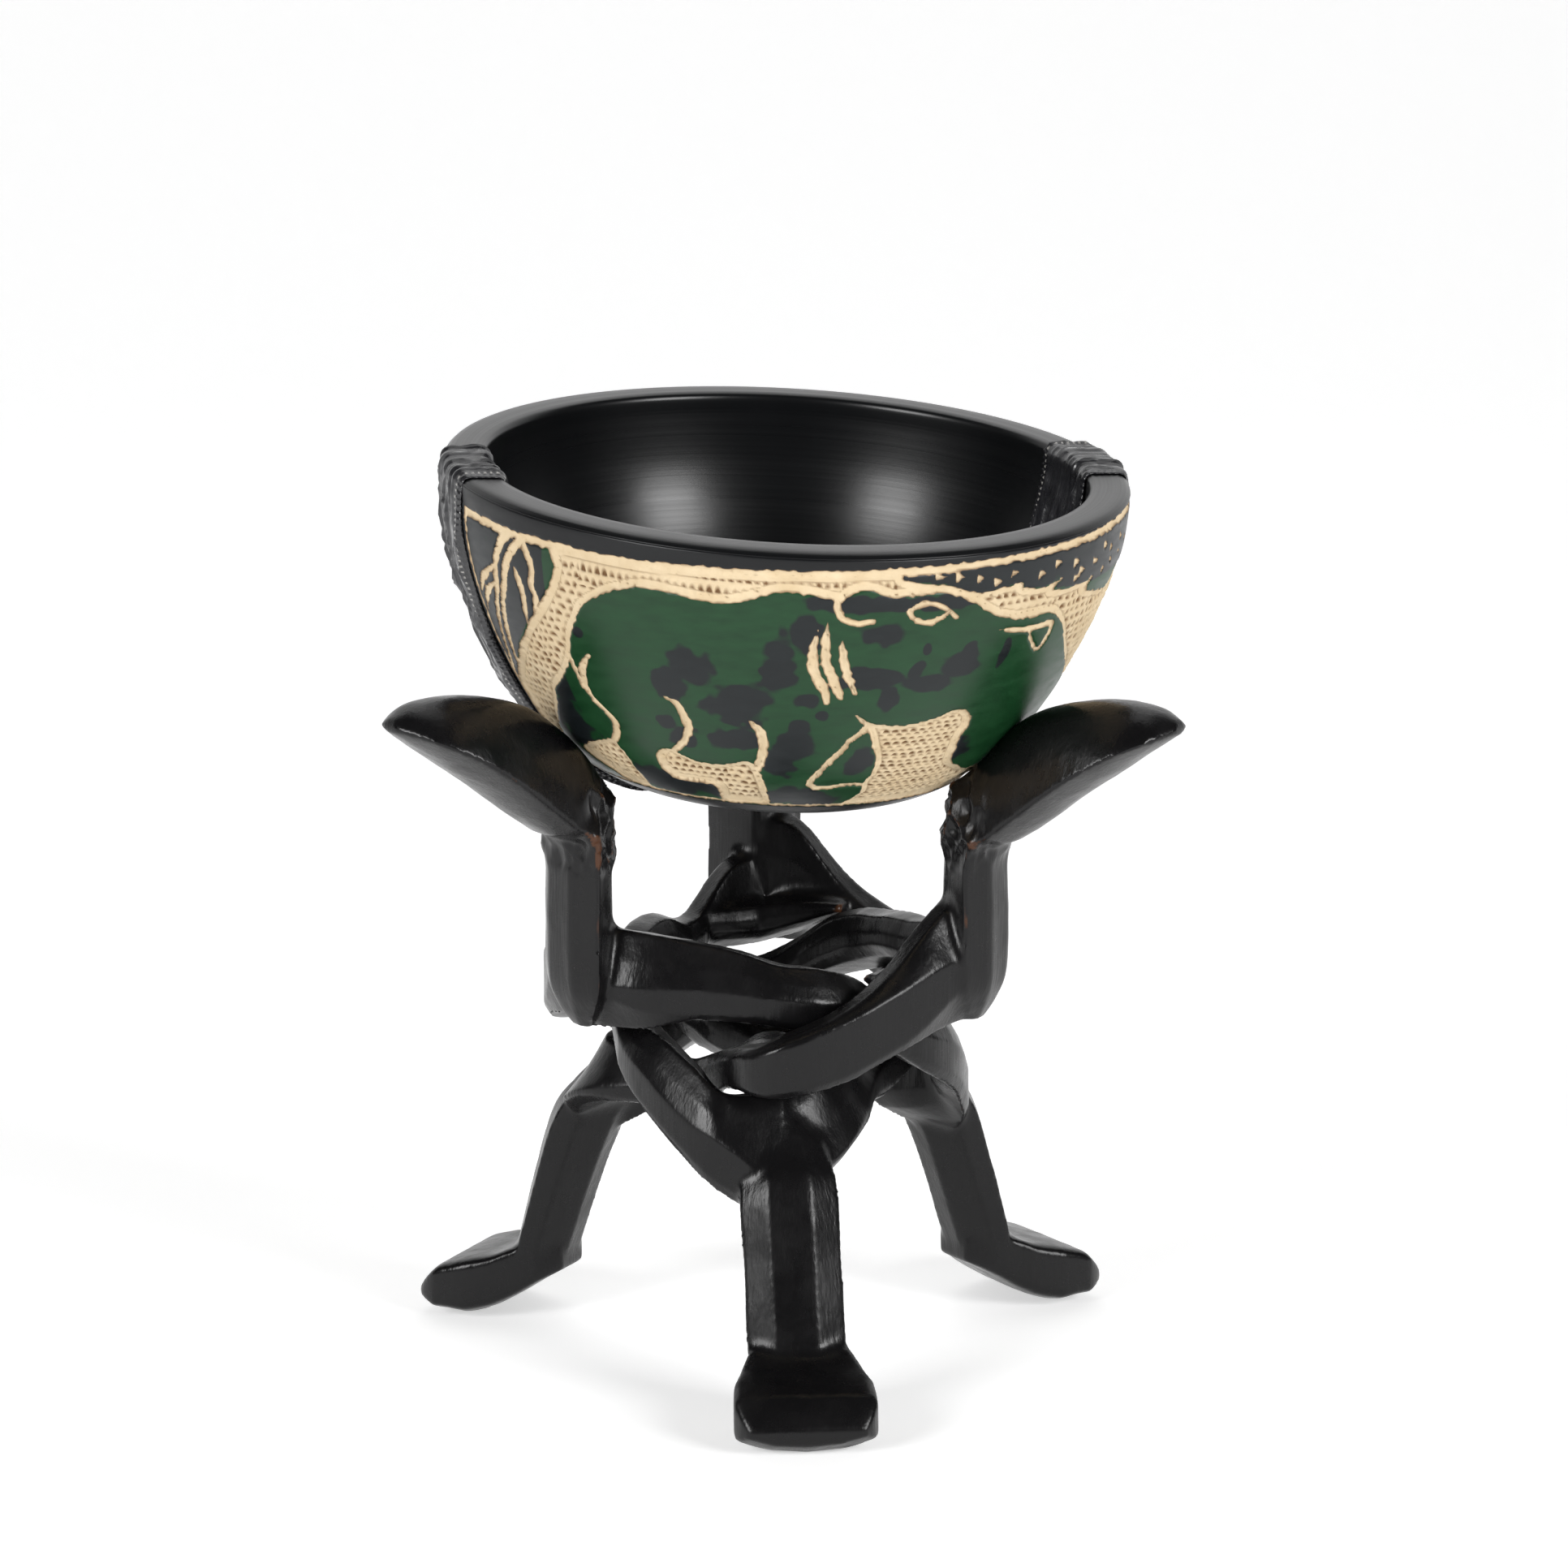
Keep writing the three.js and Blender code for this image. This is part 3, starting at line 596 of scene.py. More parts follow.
def carve_leg(name, voxel):
    """A whole leg in one skin: its inner corners are filled, then it is dressed with shallow scoops,
    chipped where the rest meets the post, and hollowed to the bowl. The moves along the normals are
    nearest-point and lattice noise, in mm."""
    raise_by, foot_shift, drop, falling_knee, rising_knee, flare = LEG_DIFFERENCES[name]
    parts = [strand_tube(FALLING_STRAND, -1, falling_knee, 0, flare),
             strand_tube(RISING_STRAND, 1, rising_knee, drop, 0.6 * flare),
             strand_tube(SHELF, -1), strand_tube(FALLING_WEB, -1), strand_tube(RISING_WEB, 1),
             rest_tube(raise_by), shin_tube(foot_shift), foot_tube(foot_shift)]
    turn = rotation_z(LEG_AZIMUTHS[name])
    skin = joined_skin(name, parts, turn, voxel)
    edges = read(skin.edges, "vertices", 2, np.int64)
    points = fillet_hollows(skin, edges)
    x, _, z = ((points - (0, STAND_AXIS_Y, 0)) @ turn).T
    normals = read(skin.vertex_normals, "vector", 3)
    seed = int(LEG_AZIMUTHS[name])
    scoop = np.minimum(nearest_cell(points, (8, 8, 14), seed), 1) ** 2 - 0.5
    waves = cloud(points, (16, 16, 24), seed + 5) - 0.5
    ripple = cloud(points, (2.6, 2.6, 5), seed + 9) - 0.5
    move = SCOOP_DEPTH * scoop + WAVE_DEPTH * waves + RIPPLE_DEPTH * ripple
    chipped = (smoothstep(138, 146, z) * (1 - smoothstep(160, 170, z))
               * (1 - smoothstep(58, 72, x)) * smoothstep(38, 44, x))
    splinters = points + 4 * (cloud(points, 5, seed + 3) - 0.5)[:, None]
    move = move + chipped * CHIP_DEPTH * (nearest_cell(splinters, (5, 5, 8), seed + 21) - 0.4)
    move = np.where(z < 2.0, np.minimum(move, 0) * 0.2, move)    # the soles stay flat
    points = clear_of_bowl(points + normals * move[:, None])
    points[:, 2] = np.maximum(points[:, 2], 0)
    low, high = np.array(CAD_BOUNDS) / MM
    points = np.clip(points, low, high)
    bend = np.einsum("ij,ij->i", points - neighbour_mean(points, edges), normals)
    for _ in range(3):
        bend = 0.5 * bend + 0.5 * neighbour_mean(bend, edges)
    write_points(skin, points)
    skin.polygons.foreach_set("use_smooth", np.ones(len(skin.polygons), bool))
    store(skin, "edge_wear", np.clip(bend / WORN_BEND, -1, 1))
    return new_object(name + "_carved", skin)


# ---------------------------------------------------------------- bowl
def wall_path():
    """The outside wall by its length from the rim's edge: length, radius, height."""
    return np.column_stack([arc_length(BOWL_OUTSIDE), BOWL_OUTSIDE])


def wall_at(down):
    """Radius, height and outward normal of the wall at a distance down it."""
    path = wall_path()
    here = smooth_rows(path, down)
    below, above = np.minimum(down + 0.2, path[-1, 0]), np.maximum(down - 0.2, 0)
    step = smooth_rows(path, below) - smooth_rows(path, above)
    step /= np.linalg.norm(step, axis=1)[:, None]
    return here[:, 0], here[:, 1], -step[:, 1], step[:, 0]


def rounded(points, closed):
    """The same points joined by smooth cubic curves, four short lines to each span."""
    rows, first, end = list(points), 0, len(points) - 0.99
    if closed:
        rows, first, end = [rows[-1], *rows, *rows[:2]], -1, len(points)
    table = np.column_stack([np.arange(first, first + len(rows)), rows])
    return smooth_rows(table, np.arange(0, end, 0.25))


def line_distance(azimuth, down, per_degree, start, end):
    """How far along a straight line its nearest point is, 0 to 1, and the distance to it, mm."""
    px, py = (azimuth - start[0]) * per_degree, down - start[1]
    qx, qy = (end[0] - start[0]) * per_degree, end[1] - start[1]
    t = np.clip((px * qx + py * qy) / (qx * qx + qy * qy), 0, 1)
    return t, np.hypot(px - t * qx, py - t * qy)


def stroke_distance(azimuth, down, per_degree, points):
    """Distance to the edge of a stroke, negative inside: distance to its line less its half width."""
    best = np.full(azimuth.shape, 1e3)
    curve = rounded(points, False)
    for start, end in zip(curve[:-1], curve[1:]):
        t, distance = line_distance(azimuth, down, per_degree, start, end)
        best = np.minimum(best, distance - (start[2] + t * (end[2] - start[2])))
    return best


def area_distance(azimuth, down, per_degree, points):
    """Distance to the edge of an area, negative inside, by counting crossings of its outline."""
    best = np.full(azimuth.shape, 1e3)
    inside = np.zeros(azimuth.shape, bool)
    curve = rounded(points, True)
    for start, end in zip(curve, np.roll(curve, -1, axis=0)):
        best = np.minimum(best, line_distance(azimuth, down, per_degree, start, end)[1])
        (a0, s0), (a1, s1) = start, end
        crosses = (s0 > down) != (s1 > down)
        at = a0 + (down - s0) * (a1 - a0) / np.where(s1 == s0, 1e-9, s1 - s0)
        inside ^= crosses & (azimuth < at)
    return np.where(inside, -best, best)


def scoops(x, y, width, height, seed):
    """Staggered rows of gouge cuts: each deepens down its cell to a sharp ledge, 0 to 1."""
    row = np.floor(y / height).astype(np.int64)
    along = x / width + 0.5 * (row % 2) + 0.3 * scatter(row, row, 0, seed)
    column = np.floor(along).astype(np.int64)
    own = scatter(column, row, 1, seed)
    fu, fv = along - column, y / height - row
    return (1 - (2 * fu - 1) ** 2) * fv * (0.65 + 0.35 * own)


def carve_wall(azimuth, down):
    """The cut drawing: depth of the cut, signed distance to the nearest cut edge, how deep in a
    gouge mark, and how charcoal the paint is, at points of the wall."""
    front = (azimuth > STRAPS["strap_left"][0]) & (azimuth < STRAPS["strap_right"][0] + 360)
    a = np.where(front, azimuth, DRAWING_MIDDLE + (azimuth - BACK_MIDDLE) / BACK_NARROWING)
    radius = wall_at(down.ravel())[0].reshape(down.shape)
    per_degree = radius * np.pi / 180
    spot = np.stack([azimuth * 1.5, down, 0 * down], -1)
    jag = cloud(spot, (1.3, 1.3, 1), 3) - 0.5
    wander = cloud(spot, (5, 5, 1), 4) - 0.5

    ground = area_distance(a, down, per_degree, GROUND)
    leg = area_distance(a, down, per_degree, FRONT_LEG)
    hooves = np.minimum(area_distance(a, down, per_degree, REAR_HOOF),
                        area_distance(a, down, per_degree, MIDDLE_HOOF))
    strokes = np.full(down.shape, 1e3)
    for points in STROKES:
        strokes = np.minimum(strokes, stroke_distance(a, down, per_degree, points))
    for a0, s0 in TRIANGLES:
        x, y = (a - a0) * per_degree, down - s0
        slant = np.hypot(TRIANGLE_HALF_HEIGHT, TRIANGLE_LENGTH)
        point = ((x - TRIANGLE_LENGTH) * TRIANGLE_HALF_HEIGHT + np.abs(y) * TRIANGLE_LENGTH) / slant
        strokes = np.minimum(strokes, np.maximum(-x, point))
    top_line = np.interp(a, *np.array(TOP_LINE).T)
    line = np.minimum(np.abs(down - top_line) - TOP_LINE_HALF,
                      np.abs(down - BOTTOM_LINE) - BOTTOM_LINE_HALF)
    across = np.full(down.shape, 1e3)
    for strap_azimuth, _ in STRAPS.values():
        away = np.radians((azimuth - strap_azimuth + 180) % 360 - 180)
        beside = np.where(np.abs(away) < 1.2, np.abs(radius * np.sin(away)), 1e3)
        across = np.minimum(across, beside)
    side = np.maximum(SIDE_LINE[0] - across, across - SIDE_LINE[1])
    top = top_line - TOP_LINE_HALF
    side = np.maximum(side, np.maximum(top - down, down - BOTTOM_LINE - BOTTOM_LINE_HALF))
    panel = np.maximum(SIDE_LINE[0] - across, down - BOTTOM_LINE)
    areas = np.maximum(np.minimum(np.minimum(ground, leg), hooves), panel)
    thin = np.maximum(np.minimum(strokes, line), SIDE_LINE[0] - across)
    cut = np.minimum(np.minimum(areas, thin), side) + 0.75 * jag + 0.3 * wander

    groove = smoothstep(0, 0.6, -cut) * (0.85 + 0.35 * jag)
    inner = smoothstep(2.0, 2.5, -areas)
    trench = np.exp(-((-areas - 2.3) / 0.4) ** 2)
    x = azimuth * np.pi / 180 * 84    # along the wall at a middling radius, 84 mm
    plain = scoops(x + 2 * wander, down + 0.8 * wander, *FIELD_MARKS, 11)
    ladder = scoops(x, down + 0.6 * wander, *STRIP_MARKS, 12)
    strip = smoothstep(226, 232, a) * (1 - smoothstep(284, 290, a)) * (1 - smoothstep(16, 18, down))
    fan = scoops((a - 286) * per_degree + 0.12 * (down - 50), down, *LEG_MARKS, 13)
    marks = np.where((leg < 0) & (a < 312), fan, plain)
    marks = np.where(strip > 0.5, ladder, marks)
    steps = smoothstep(0.5, 0.9, scoops(x + 0.7 * wander, down, *BORDER_MARKS, 14))
    steps = steps * (1 - inner) * (cut < -0.35)
    pit = np.maximum(np.maximum(inner * marks, 0.42 * trench), 0.5 * steps)
    depth = groove * (CUT_DEPTH + 0.2 * wander) - FIELD_RISE * inner + PIT_DEPTH * pit
    depth = np.where(cut < 0.2, np.maximum(depth, 0), 0)

    blotch = np.full(down.shape, -1.0)
    for a0, s0, rx, ry in BLOTCHES:
        blotch = np.maximum(blotch, 1 - np.hypot((a - a0) * per_degree / rx, (down - s0) / ry))
    mottle = cloud(spot, (9, 6, 1), 6) + 0.6 * cloud(spot, (2.4, 2.0, 1), 7) - 0.8
    # green only on the animal and its shade: not behind the grass, nor in the band of triangles
    grass = (a < 222) & (down < 55) & (ground > 0)
    body = (a > 205) & (a < 345) & (down > 8) & (down < 90) & ~grass
    band_foot = np.interp(a, [284, 300, 318, 345], [8.5, 12.3, 15, 22])
    band = (a > 284) & (down < 17) & (down < band_foot) & (ground > 0)
    blotch = np.where(~body | band, 0.35 + 0.5 * mottle, blotch + 0.9 * mottle)
    band_edge = np.minimum(down - top, BOTTOM_LINE + BOTTOM_LINE_HALF - down)
    return depth, cut, pit, blotch, band_edge


def wall_panel(name, start, end, spacing):
    """Half of the cut wall, from one strap's middle to the other's: the turned outside pushed in by
    the depth of the cut, with a coarser back at the panel's full thickness."""
    columns = int(np.radians(end - start) * 90 / spacing)
    rows = int((WALL_BOTTOM - WALL_TOP) / spacing)
    back_rows = 12

    def surface(azimuth, down, offset):
        """Points of the turned outside, moved out along its normal."""
        r, z, nr, nz = (v.reshape(down.shape) for v in wall_at(down.ravel()))
        return around_axis(r + offset * nr, np.radians(azimuth), z + offset * nz).reshape(-1, 3)

    across = np.linspace(start, end, columns)
    azimuth, down = np.meshgrid(across, np.linspace(WALL_TOP, WALL_BOTTOM, rows))
    depth, cut, pit, blotch, band = carve_wall(azimuth, down)
    depth = depth * np.clip(np.minimum(down - WALL_TOP, WALL_BOTTOM - down) / 0.6, 0, 1)
    back_azimuth, back_down = np.meshgrid(across, np.linspace(WALL_TOP, WALL_BOTTOM, back_rows))
    points = np.concatenate([surface(azimuth, down, -depth),
                             surface(back_azimuth, back_down, np.full(back_down.shape, -WALL_THICK))])
    count = rows * columns
    faces = grid_faces(rows, columns, False)
    back = grid_faces(back_rows, columns, False, count)[:, ::-1]
    j = np.arange(columns - 1)
    low, back_low = (rows - 1) * columns + j, count + (back_rows - 1) * columns + j
    top_edge = np.stack([j + 1, j, j + count, j + 1 + count], 1)
    low_edge = np.stack([low, low + 1, back_low + 1, back_low], 1)
    ends = []
    for column, order in ((0, 1), (columns - 1, -1)):
        outside = np.arange(rows) * columns + column
        inside = count + np.arange(back_rows)[::-1] * columns + column
        ends.append(np.concatenate([outside, inside])[::order].tolist())
    faces = [*faces.tolist(), *back.tolist(), *top_edge.tolist(), *low_edge.tolist(), *ends]
    piece = new_piece(name, place_bowl(points), faces)
    hidden = np.ones(back_rows * columns)
    # pit sets the depth of the gouge marks, and also where the material paints shade in brown
    for key, value in (("cut", cut), ("pit", pit), ("blotch", blotch), ("band", -band)):
        store(piece.data, key, np.concatenate([value.ravel(), hidden]))
    return piece


def turned_core(name):
    """The turned body: its inside, rim and base spun about the bowl's axis, with a shallow recess
    that the cut wall fills."""
    inside = along_table(BOWL_INSIDE, 90, 0.15).T
    top, bottom, thick = WALL_TOP - WALL_PLAY, WALL_BOTTOM + WALL_PLAY, WALL_THICK + WALL_PLAY

    def outside(down, depth):
        """Radius and height of the turned outside, moved in along its normal."""
        r, z, nr, nz = wall_at(down)
        return np.stack([r - depth * nr, z - depth * nz], 1)

    above = outside(np.array([top - 0.15, top]), 0)
    recess = outside(np.linspace(top, bottom, 60), thick)
    below = outside(np.linspace(bottom, wall_path()[-1, 0], 24), 0)
    profile = np.concatenate([inside, RIM, above, recess, below, BASE])
    columns = 288
    turn = np.radians(np.arange(columns) * 360 / columns)[None, :]
    points, faces = tube(around_axis(profile[:, :1], turn, profile[:, 1:]))
    piece = new_piece(name, place_bowl(points), faces)
    height = np.concatenate([np.repeat(profile[:, 1], columns), profile[[0, -1], 1]])
    radius = np.concatenate([np.repeat(profile[:, 0], columns), [0, 0]])
    store(piece.data, "rim_height", height)
    store(piece.data, "turning_radius", radius)
    return piece


# ---------------------------------------------------------------- straps
def strap_path():
    """The line a strap follows, from low inside, over the rim, down and under the base."""
    inside = [p for p in BOWL_INSIDE if p[1] > -STRAP_INSIDE_DEPTH]
    over = [(79.6, -0.4), (80.4, 0), (88.6, 0), (89.7, -0.5)]
    return np.array([(67.0, -44.2), *inside[1:], *over, *BOWL_OUTSIDE[2:]])


def leather_strap(name, azimuth, end_radius, spacing):
    """A strap: a flat section 32 mm wide carried along the wall and over the rim. Its top side rises
    in folds and creases, where two stretched noises cross their middle value. Its long edges are
    pinked by a triangle wave, and a beaded seam runs inside one of them."""
    corners = np.concatenate([strap_path(), [(end_radius + 8, -82.9), (end_radius, -82.9)]])
    length = arc_length(corners)
    rows, columns = int(length[-1] / spacing), 62
    along = np.linspace(0, length[-1], rows)
    line = np.stack([np.interp(along, length, corners[:, n]) for n in range(2)], 1)
    blur = np.exp(-np.linspace(-2, 2, 9) ** 2)
    blur /= blur.sum()
    padded = np.pad(line, ((4, 4), (0, 0)), mode="edge")
    line = np.stack([np.convolve(padded[:, n], blur, "valid") for n in range(2)], 1)
    step = np.gradient(line, axis=0)
    step /= np.linalg.norm(step, axis=1)[:, None]
    normal = np.stack([-step[:, 1], step[:, 0]], 1)
    u, v = np.meshgrid(along, np.linspace(-1, 1, columns), indexing="ij")
    seed = int(azimuth)
    tooth = np.abs((u / TOOTH_PITCH) % 1 - 0.5) * 2
    slow = cloud(np.stack([u, 0 * u, 0 * u], -1), (14, 1, 1), seed) - 0.5
    w = v * (STRAP_HALF_WIDTH - TOOTH_DEPTH * tooth * (np.abs(v) > 0.93) + slow * (1 - 0.5 * v))
    spot = np.stack([w + 3.0 * slow, u, 0 * u], -1)
    fold = cloud(spot, (3.4, 26, 1), seed + 1)
    crease = cloud(spot, (1.5, 13, 1), seed + 2)
    grain = cloud(spot, (1.3, 1.3, 1), seed + 3)
    rim_edge = length[len(strap_path()) - len(BOWL_OUTSIDE) + 1]
    over_rim = np.exp(-((u - rim_edge) / 16) ** 2)
    rise = 0.8 + 1.3 * (1 - np.abs(2 * fold - 1)) ** 3 + 0.8 * (1 - np.abs(2 * crease - 1)) ** 3
    rise = rise * (1 - 0.3 * over_rim) + 0.12 * (grain - 0.5)
    seam = np.abs(np.abs(w) - (STRAP_HALF_WIDTH - SEAM_FROM_EDGE))
    groove = np.exp(-(seam / 0.55) ** 2) * (w > 0)
    from_bead = np.hypot(seam, ((u / BEAD_PITCH) % 1 - 0.5) * BEAD_PITCH)
    bead = np.clip(1 - from_bead / BEAD_RADIUS, 0, 1) * (w > 0)
    edge = smoothstep(1.0, 0.9, np.abs(v))
    rise = (rise * (1 - 0.35 * groove) + 0.55 * np.sqrt(bead)) * (0.35 + 0.65 * edge)

    def at(offset):
        """Points of the strap, moved out from its line: its width is laid round the bowl."""
        r, z = (line[:, n:n + 1] + offset * normal[:, n:n + 1] for n in range(2))
        angle = np.radians(azimuth) + np.arcsin(np.clip(w / np.maximum(r, 1), -0.98, 0.98))
        return around_axis(r, angle, z).reshape(-1, 3)

    points = np.concatenate([at(STRAP_GAP + rise), at(np.full(u.shape, STRAP_GAP))])
    faces = grid_faces(rows, columns, False)
    count = rows * columns
    border = np.concatenate([np.arange(columns), np.arange(2, rows + 1) * columns - 1,
                             (rows - 1) * columns + np.arange(columns - 2, -1, -1),
                             np.arange(rows - 2, 0, -1) * columns])
    after = np.roll(border, -1)
    sides = np.stack([after, border, border + count, after + count], 1)
    piece = new_piece(name + "_leather", place_bowl(points),
                      np.concatenate([faces, faces[:, ::-1] + count, sides]).tolist())
    store(piece.data, "bead", np.concatenate([bead.ravel(), np.zeros(count)]))
    # crest marks the tops of the folds, where the material paints a highlight
    store(piece.data, "crest", np.concatenate([smoothstep(1.5, 2.6, rise).ravel(), np.zeros(count)]))
    return piece


# ---------------------------------------------------------------- materials
RGBA = {"data_type": "RGBA"}


def add(tree, kind, settings=None, inputs=None):
    """Add a node, set its settings, and set or link its inputs. Returns the node."""
    made = tree.nodes.new("ShaderNode" + kind)
    for key, value in (settings or {}).items():
        setattr(made, key, value)
    for key, value in (inputs or {}).items():
        if isinstance(value, bpy.types.NodeSocket):
            tree.links.new(value, made.inputs[key])
        else:
            made.inputs[key].default_value = value
    return made


def new_material(name):
    """An empty node material and its tree."""
    material = bpy.data.materials.new(name)
    material.use_nodes = True
    material.node_tree.nodes.clear()
    return material, material.node_tree


def stained_wood(settings):
    """Black-stained carved hardwood, rubbed with wax: near black, satin, with fine scratches along
    the grain, and brown wood worn through on the sharp edges."""
    material, tree = new_material("black_stained_carved_wood")
    place = add(tree, "TexCoord").outputs["Object"]
    # grain 0.6 mm wide and 11 mm long, up the log: coarser than real pores, so that it shows
    grain_place = add(tree, "Mapping", inputs={"Vector": place, "Scale": (1, 1, 0.055)})
    grain = add(tree, "TexNoise", inputs={
        "Vector": grain_place.outputs[0], "Scale": 1600.0, "Detail": 3.0})
    # handling marks 12 mm across
    marks = add(tree, "TexNoise", inputs={
        "Vector": place, "Scale": 85.0, "Detail": 5.0, "Roughness": 0.62})
    # tool scratches 1.1 mm apart and 11 mm long
    scratch_place = add(tree, "Mapping", inputs={
        "Vector": place, "Rotation": (0.5, 0.3, 0.2), "Scale": (1, 1, 0.1)})
    scratch = add(tree, "TexNoise", inputs={
        "Vector": scratch_place.outputs[0], "Scale": 900.0, "Detail": 2.0})
    rubbed = add(tree, "Math", {"operation": "MULTIPLY_ADD"}, {0: marks.outputs[0], 1: 0.9, 2: -0.45})
    wear = add(tree, "Attribute", {"attribute_name": "edge_wear"})
    bare = add(tree, "Math", {"operation": "ADD"}, {0: wear.outputs["Fac"], 1: rubbed.outputs[0]})
    bare_mask = add(tree, "MapRange", inputs={0: bare.outputs[0], 1: 0.80, 2: 1.02, 3: 0.0, 4: 0.6})
    stain = add(tree, "Mix", RGBA, {
        0: marks.outputs[0], 6: tuple(settings.stain), 7: tuple(settings.stain_light)})
    colour = add(tree, "Mix", RGBA, {
        0: bare_mask.outputs[0], 6: stain.outputs[2], 7: tuple(settings.worn)})
    rough = add(tree, "MapRange", inputs={0: marks.outputs[0], 1: 0.3, 2: 0.7, 3: 0.20, 4: 0.36})
    fine = add(tree, "Bump", inputs={
        "Strength": 0.35, "Distance": 0.00012, "Height": grain.outputs[0]})
    scratched = add(tree, "Bump", inputs={
        "Strength": 0.4, "Distance": 0.00018, "Height": scratch.outputs[0], "Normal": fine.outputs[0]})
    shader = add(tree, "BsdfPrincipled", inputs={
        "Base Color": colour.outputs[2], "Roughness": rough.outputs[0], "IOR": 1.5,
        "Specular IOR Level": 0.29, "Normal": scratched.outputs[0]})
    add(tree, "OutputMaterial", inputs={"Surface": shader.outputs[0]})
    return material


def turned_wood(settings):
    """Black-stained turned wood, waxed: the lathe's fine rings, and a smooth satin sheen that
    spreads the lights into soft patches."""
    material, tree = new_material("black_stained_turned_wood")
    place = add(tree, "TexCoord").outputs["Object"]
    radius, height = (add(tree, "Attribute", {"attribute_name": name}).outputs["Fac"]
                      for name in ("turning_radius", "rim_height"))
    along = add(tree, "CombineXYZ", inputs={0: radius, 1: height})
    # turning lines 0.8 mm apart, on attributes in mm
    rings = add(tree, "TexNoise", inputs={"Vector": along.outputs[0], "Scale": 1.3, "Detail": 4.0})
    # handling marks 17 mm across
    marks = add(tree, "TexNoise", inputs={
        "Vector": place, "Scale": 60.0, "Detail": 5.0, "Roughness": 0.6})
    colour = add(tree, "Mix", RGBA, {
        0: marks.outputs[0], 6: tuple(settings.inside), 7: tuple(settings.inside_light)})
    rough = add(tree, "MapRange", inputs={0: rings.outputs[0], 1: 0.3, 2: 0.7, 3: 0.27, 4: 0.33})
    turned = add(tree, "Bump", inputs={
        "Strength": 0.12, "Distance": 0.0001, "Height": rings.outputs[0]})
    handled = add(tree, "Bump", inputs={
        "Strength": 0.25, "Distance": 0.0002, "Height": marks.outputs[0], "Normal": turned.outputs[0]})
    shader = add(tree, "BsdfPrincipled", inputs={
        "Base Color": colour.outputs[2], "Roughness": rough.outputs[0], "IOR": 1.5,
        "Specular IOR Level": 0.38, "Normal": handled.outputs[0]})
    add(tree, "OutputMaterial", inputs={"Surface": shader.outputs[0]})
    return material


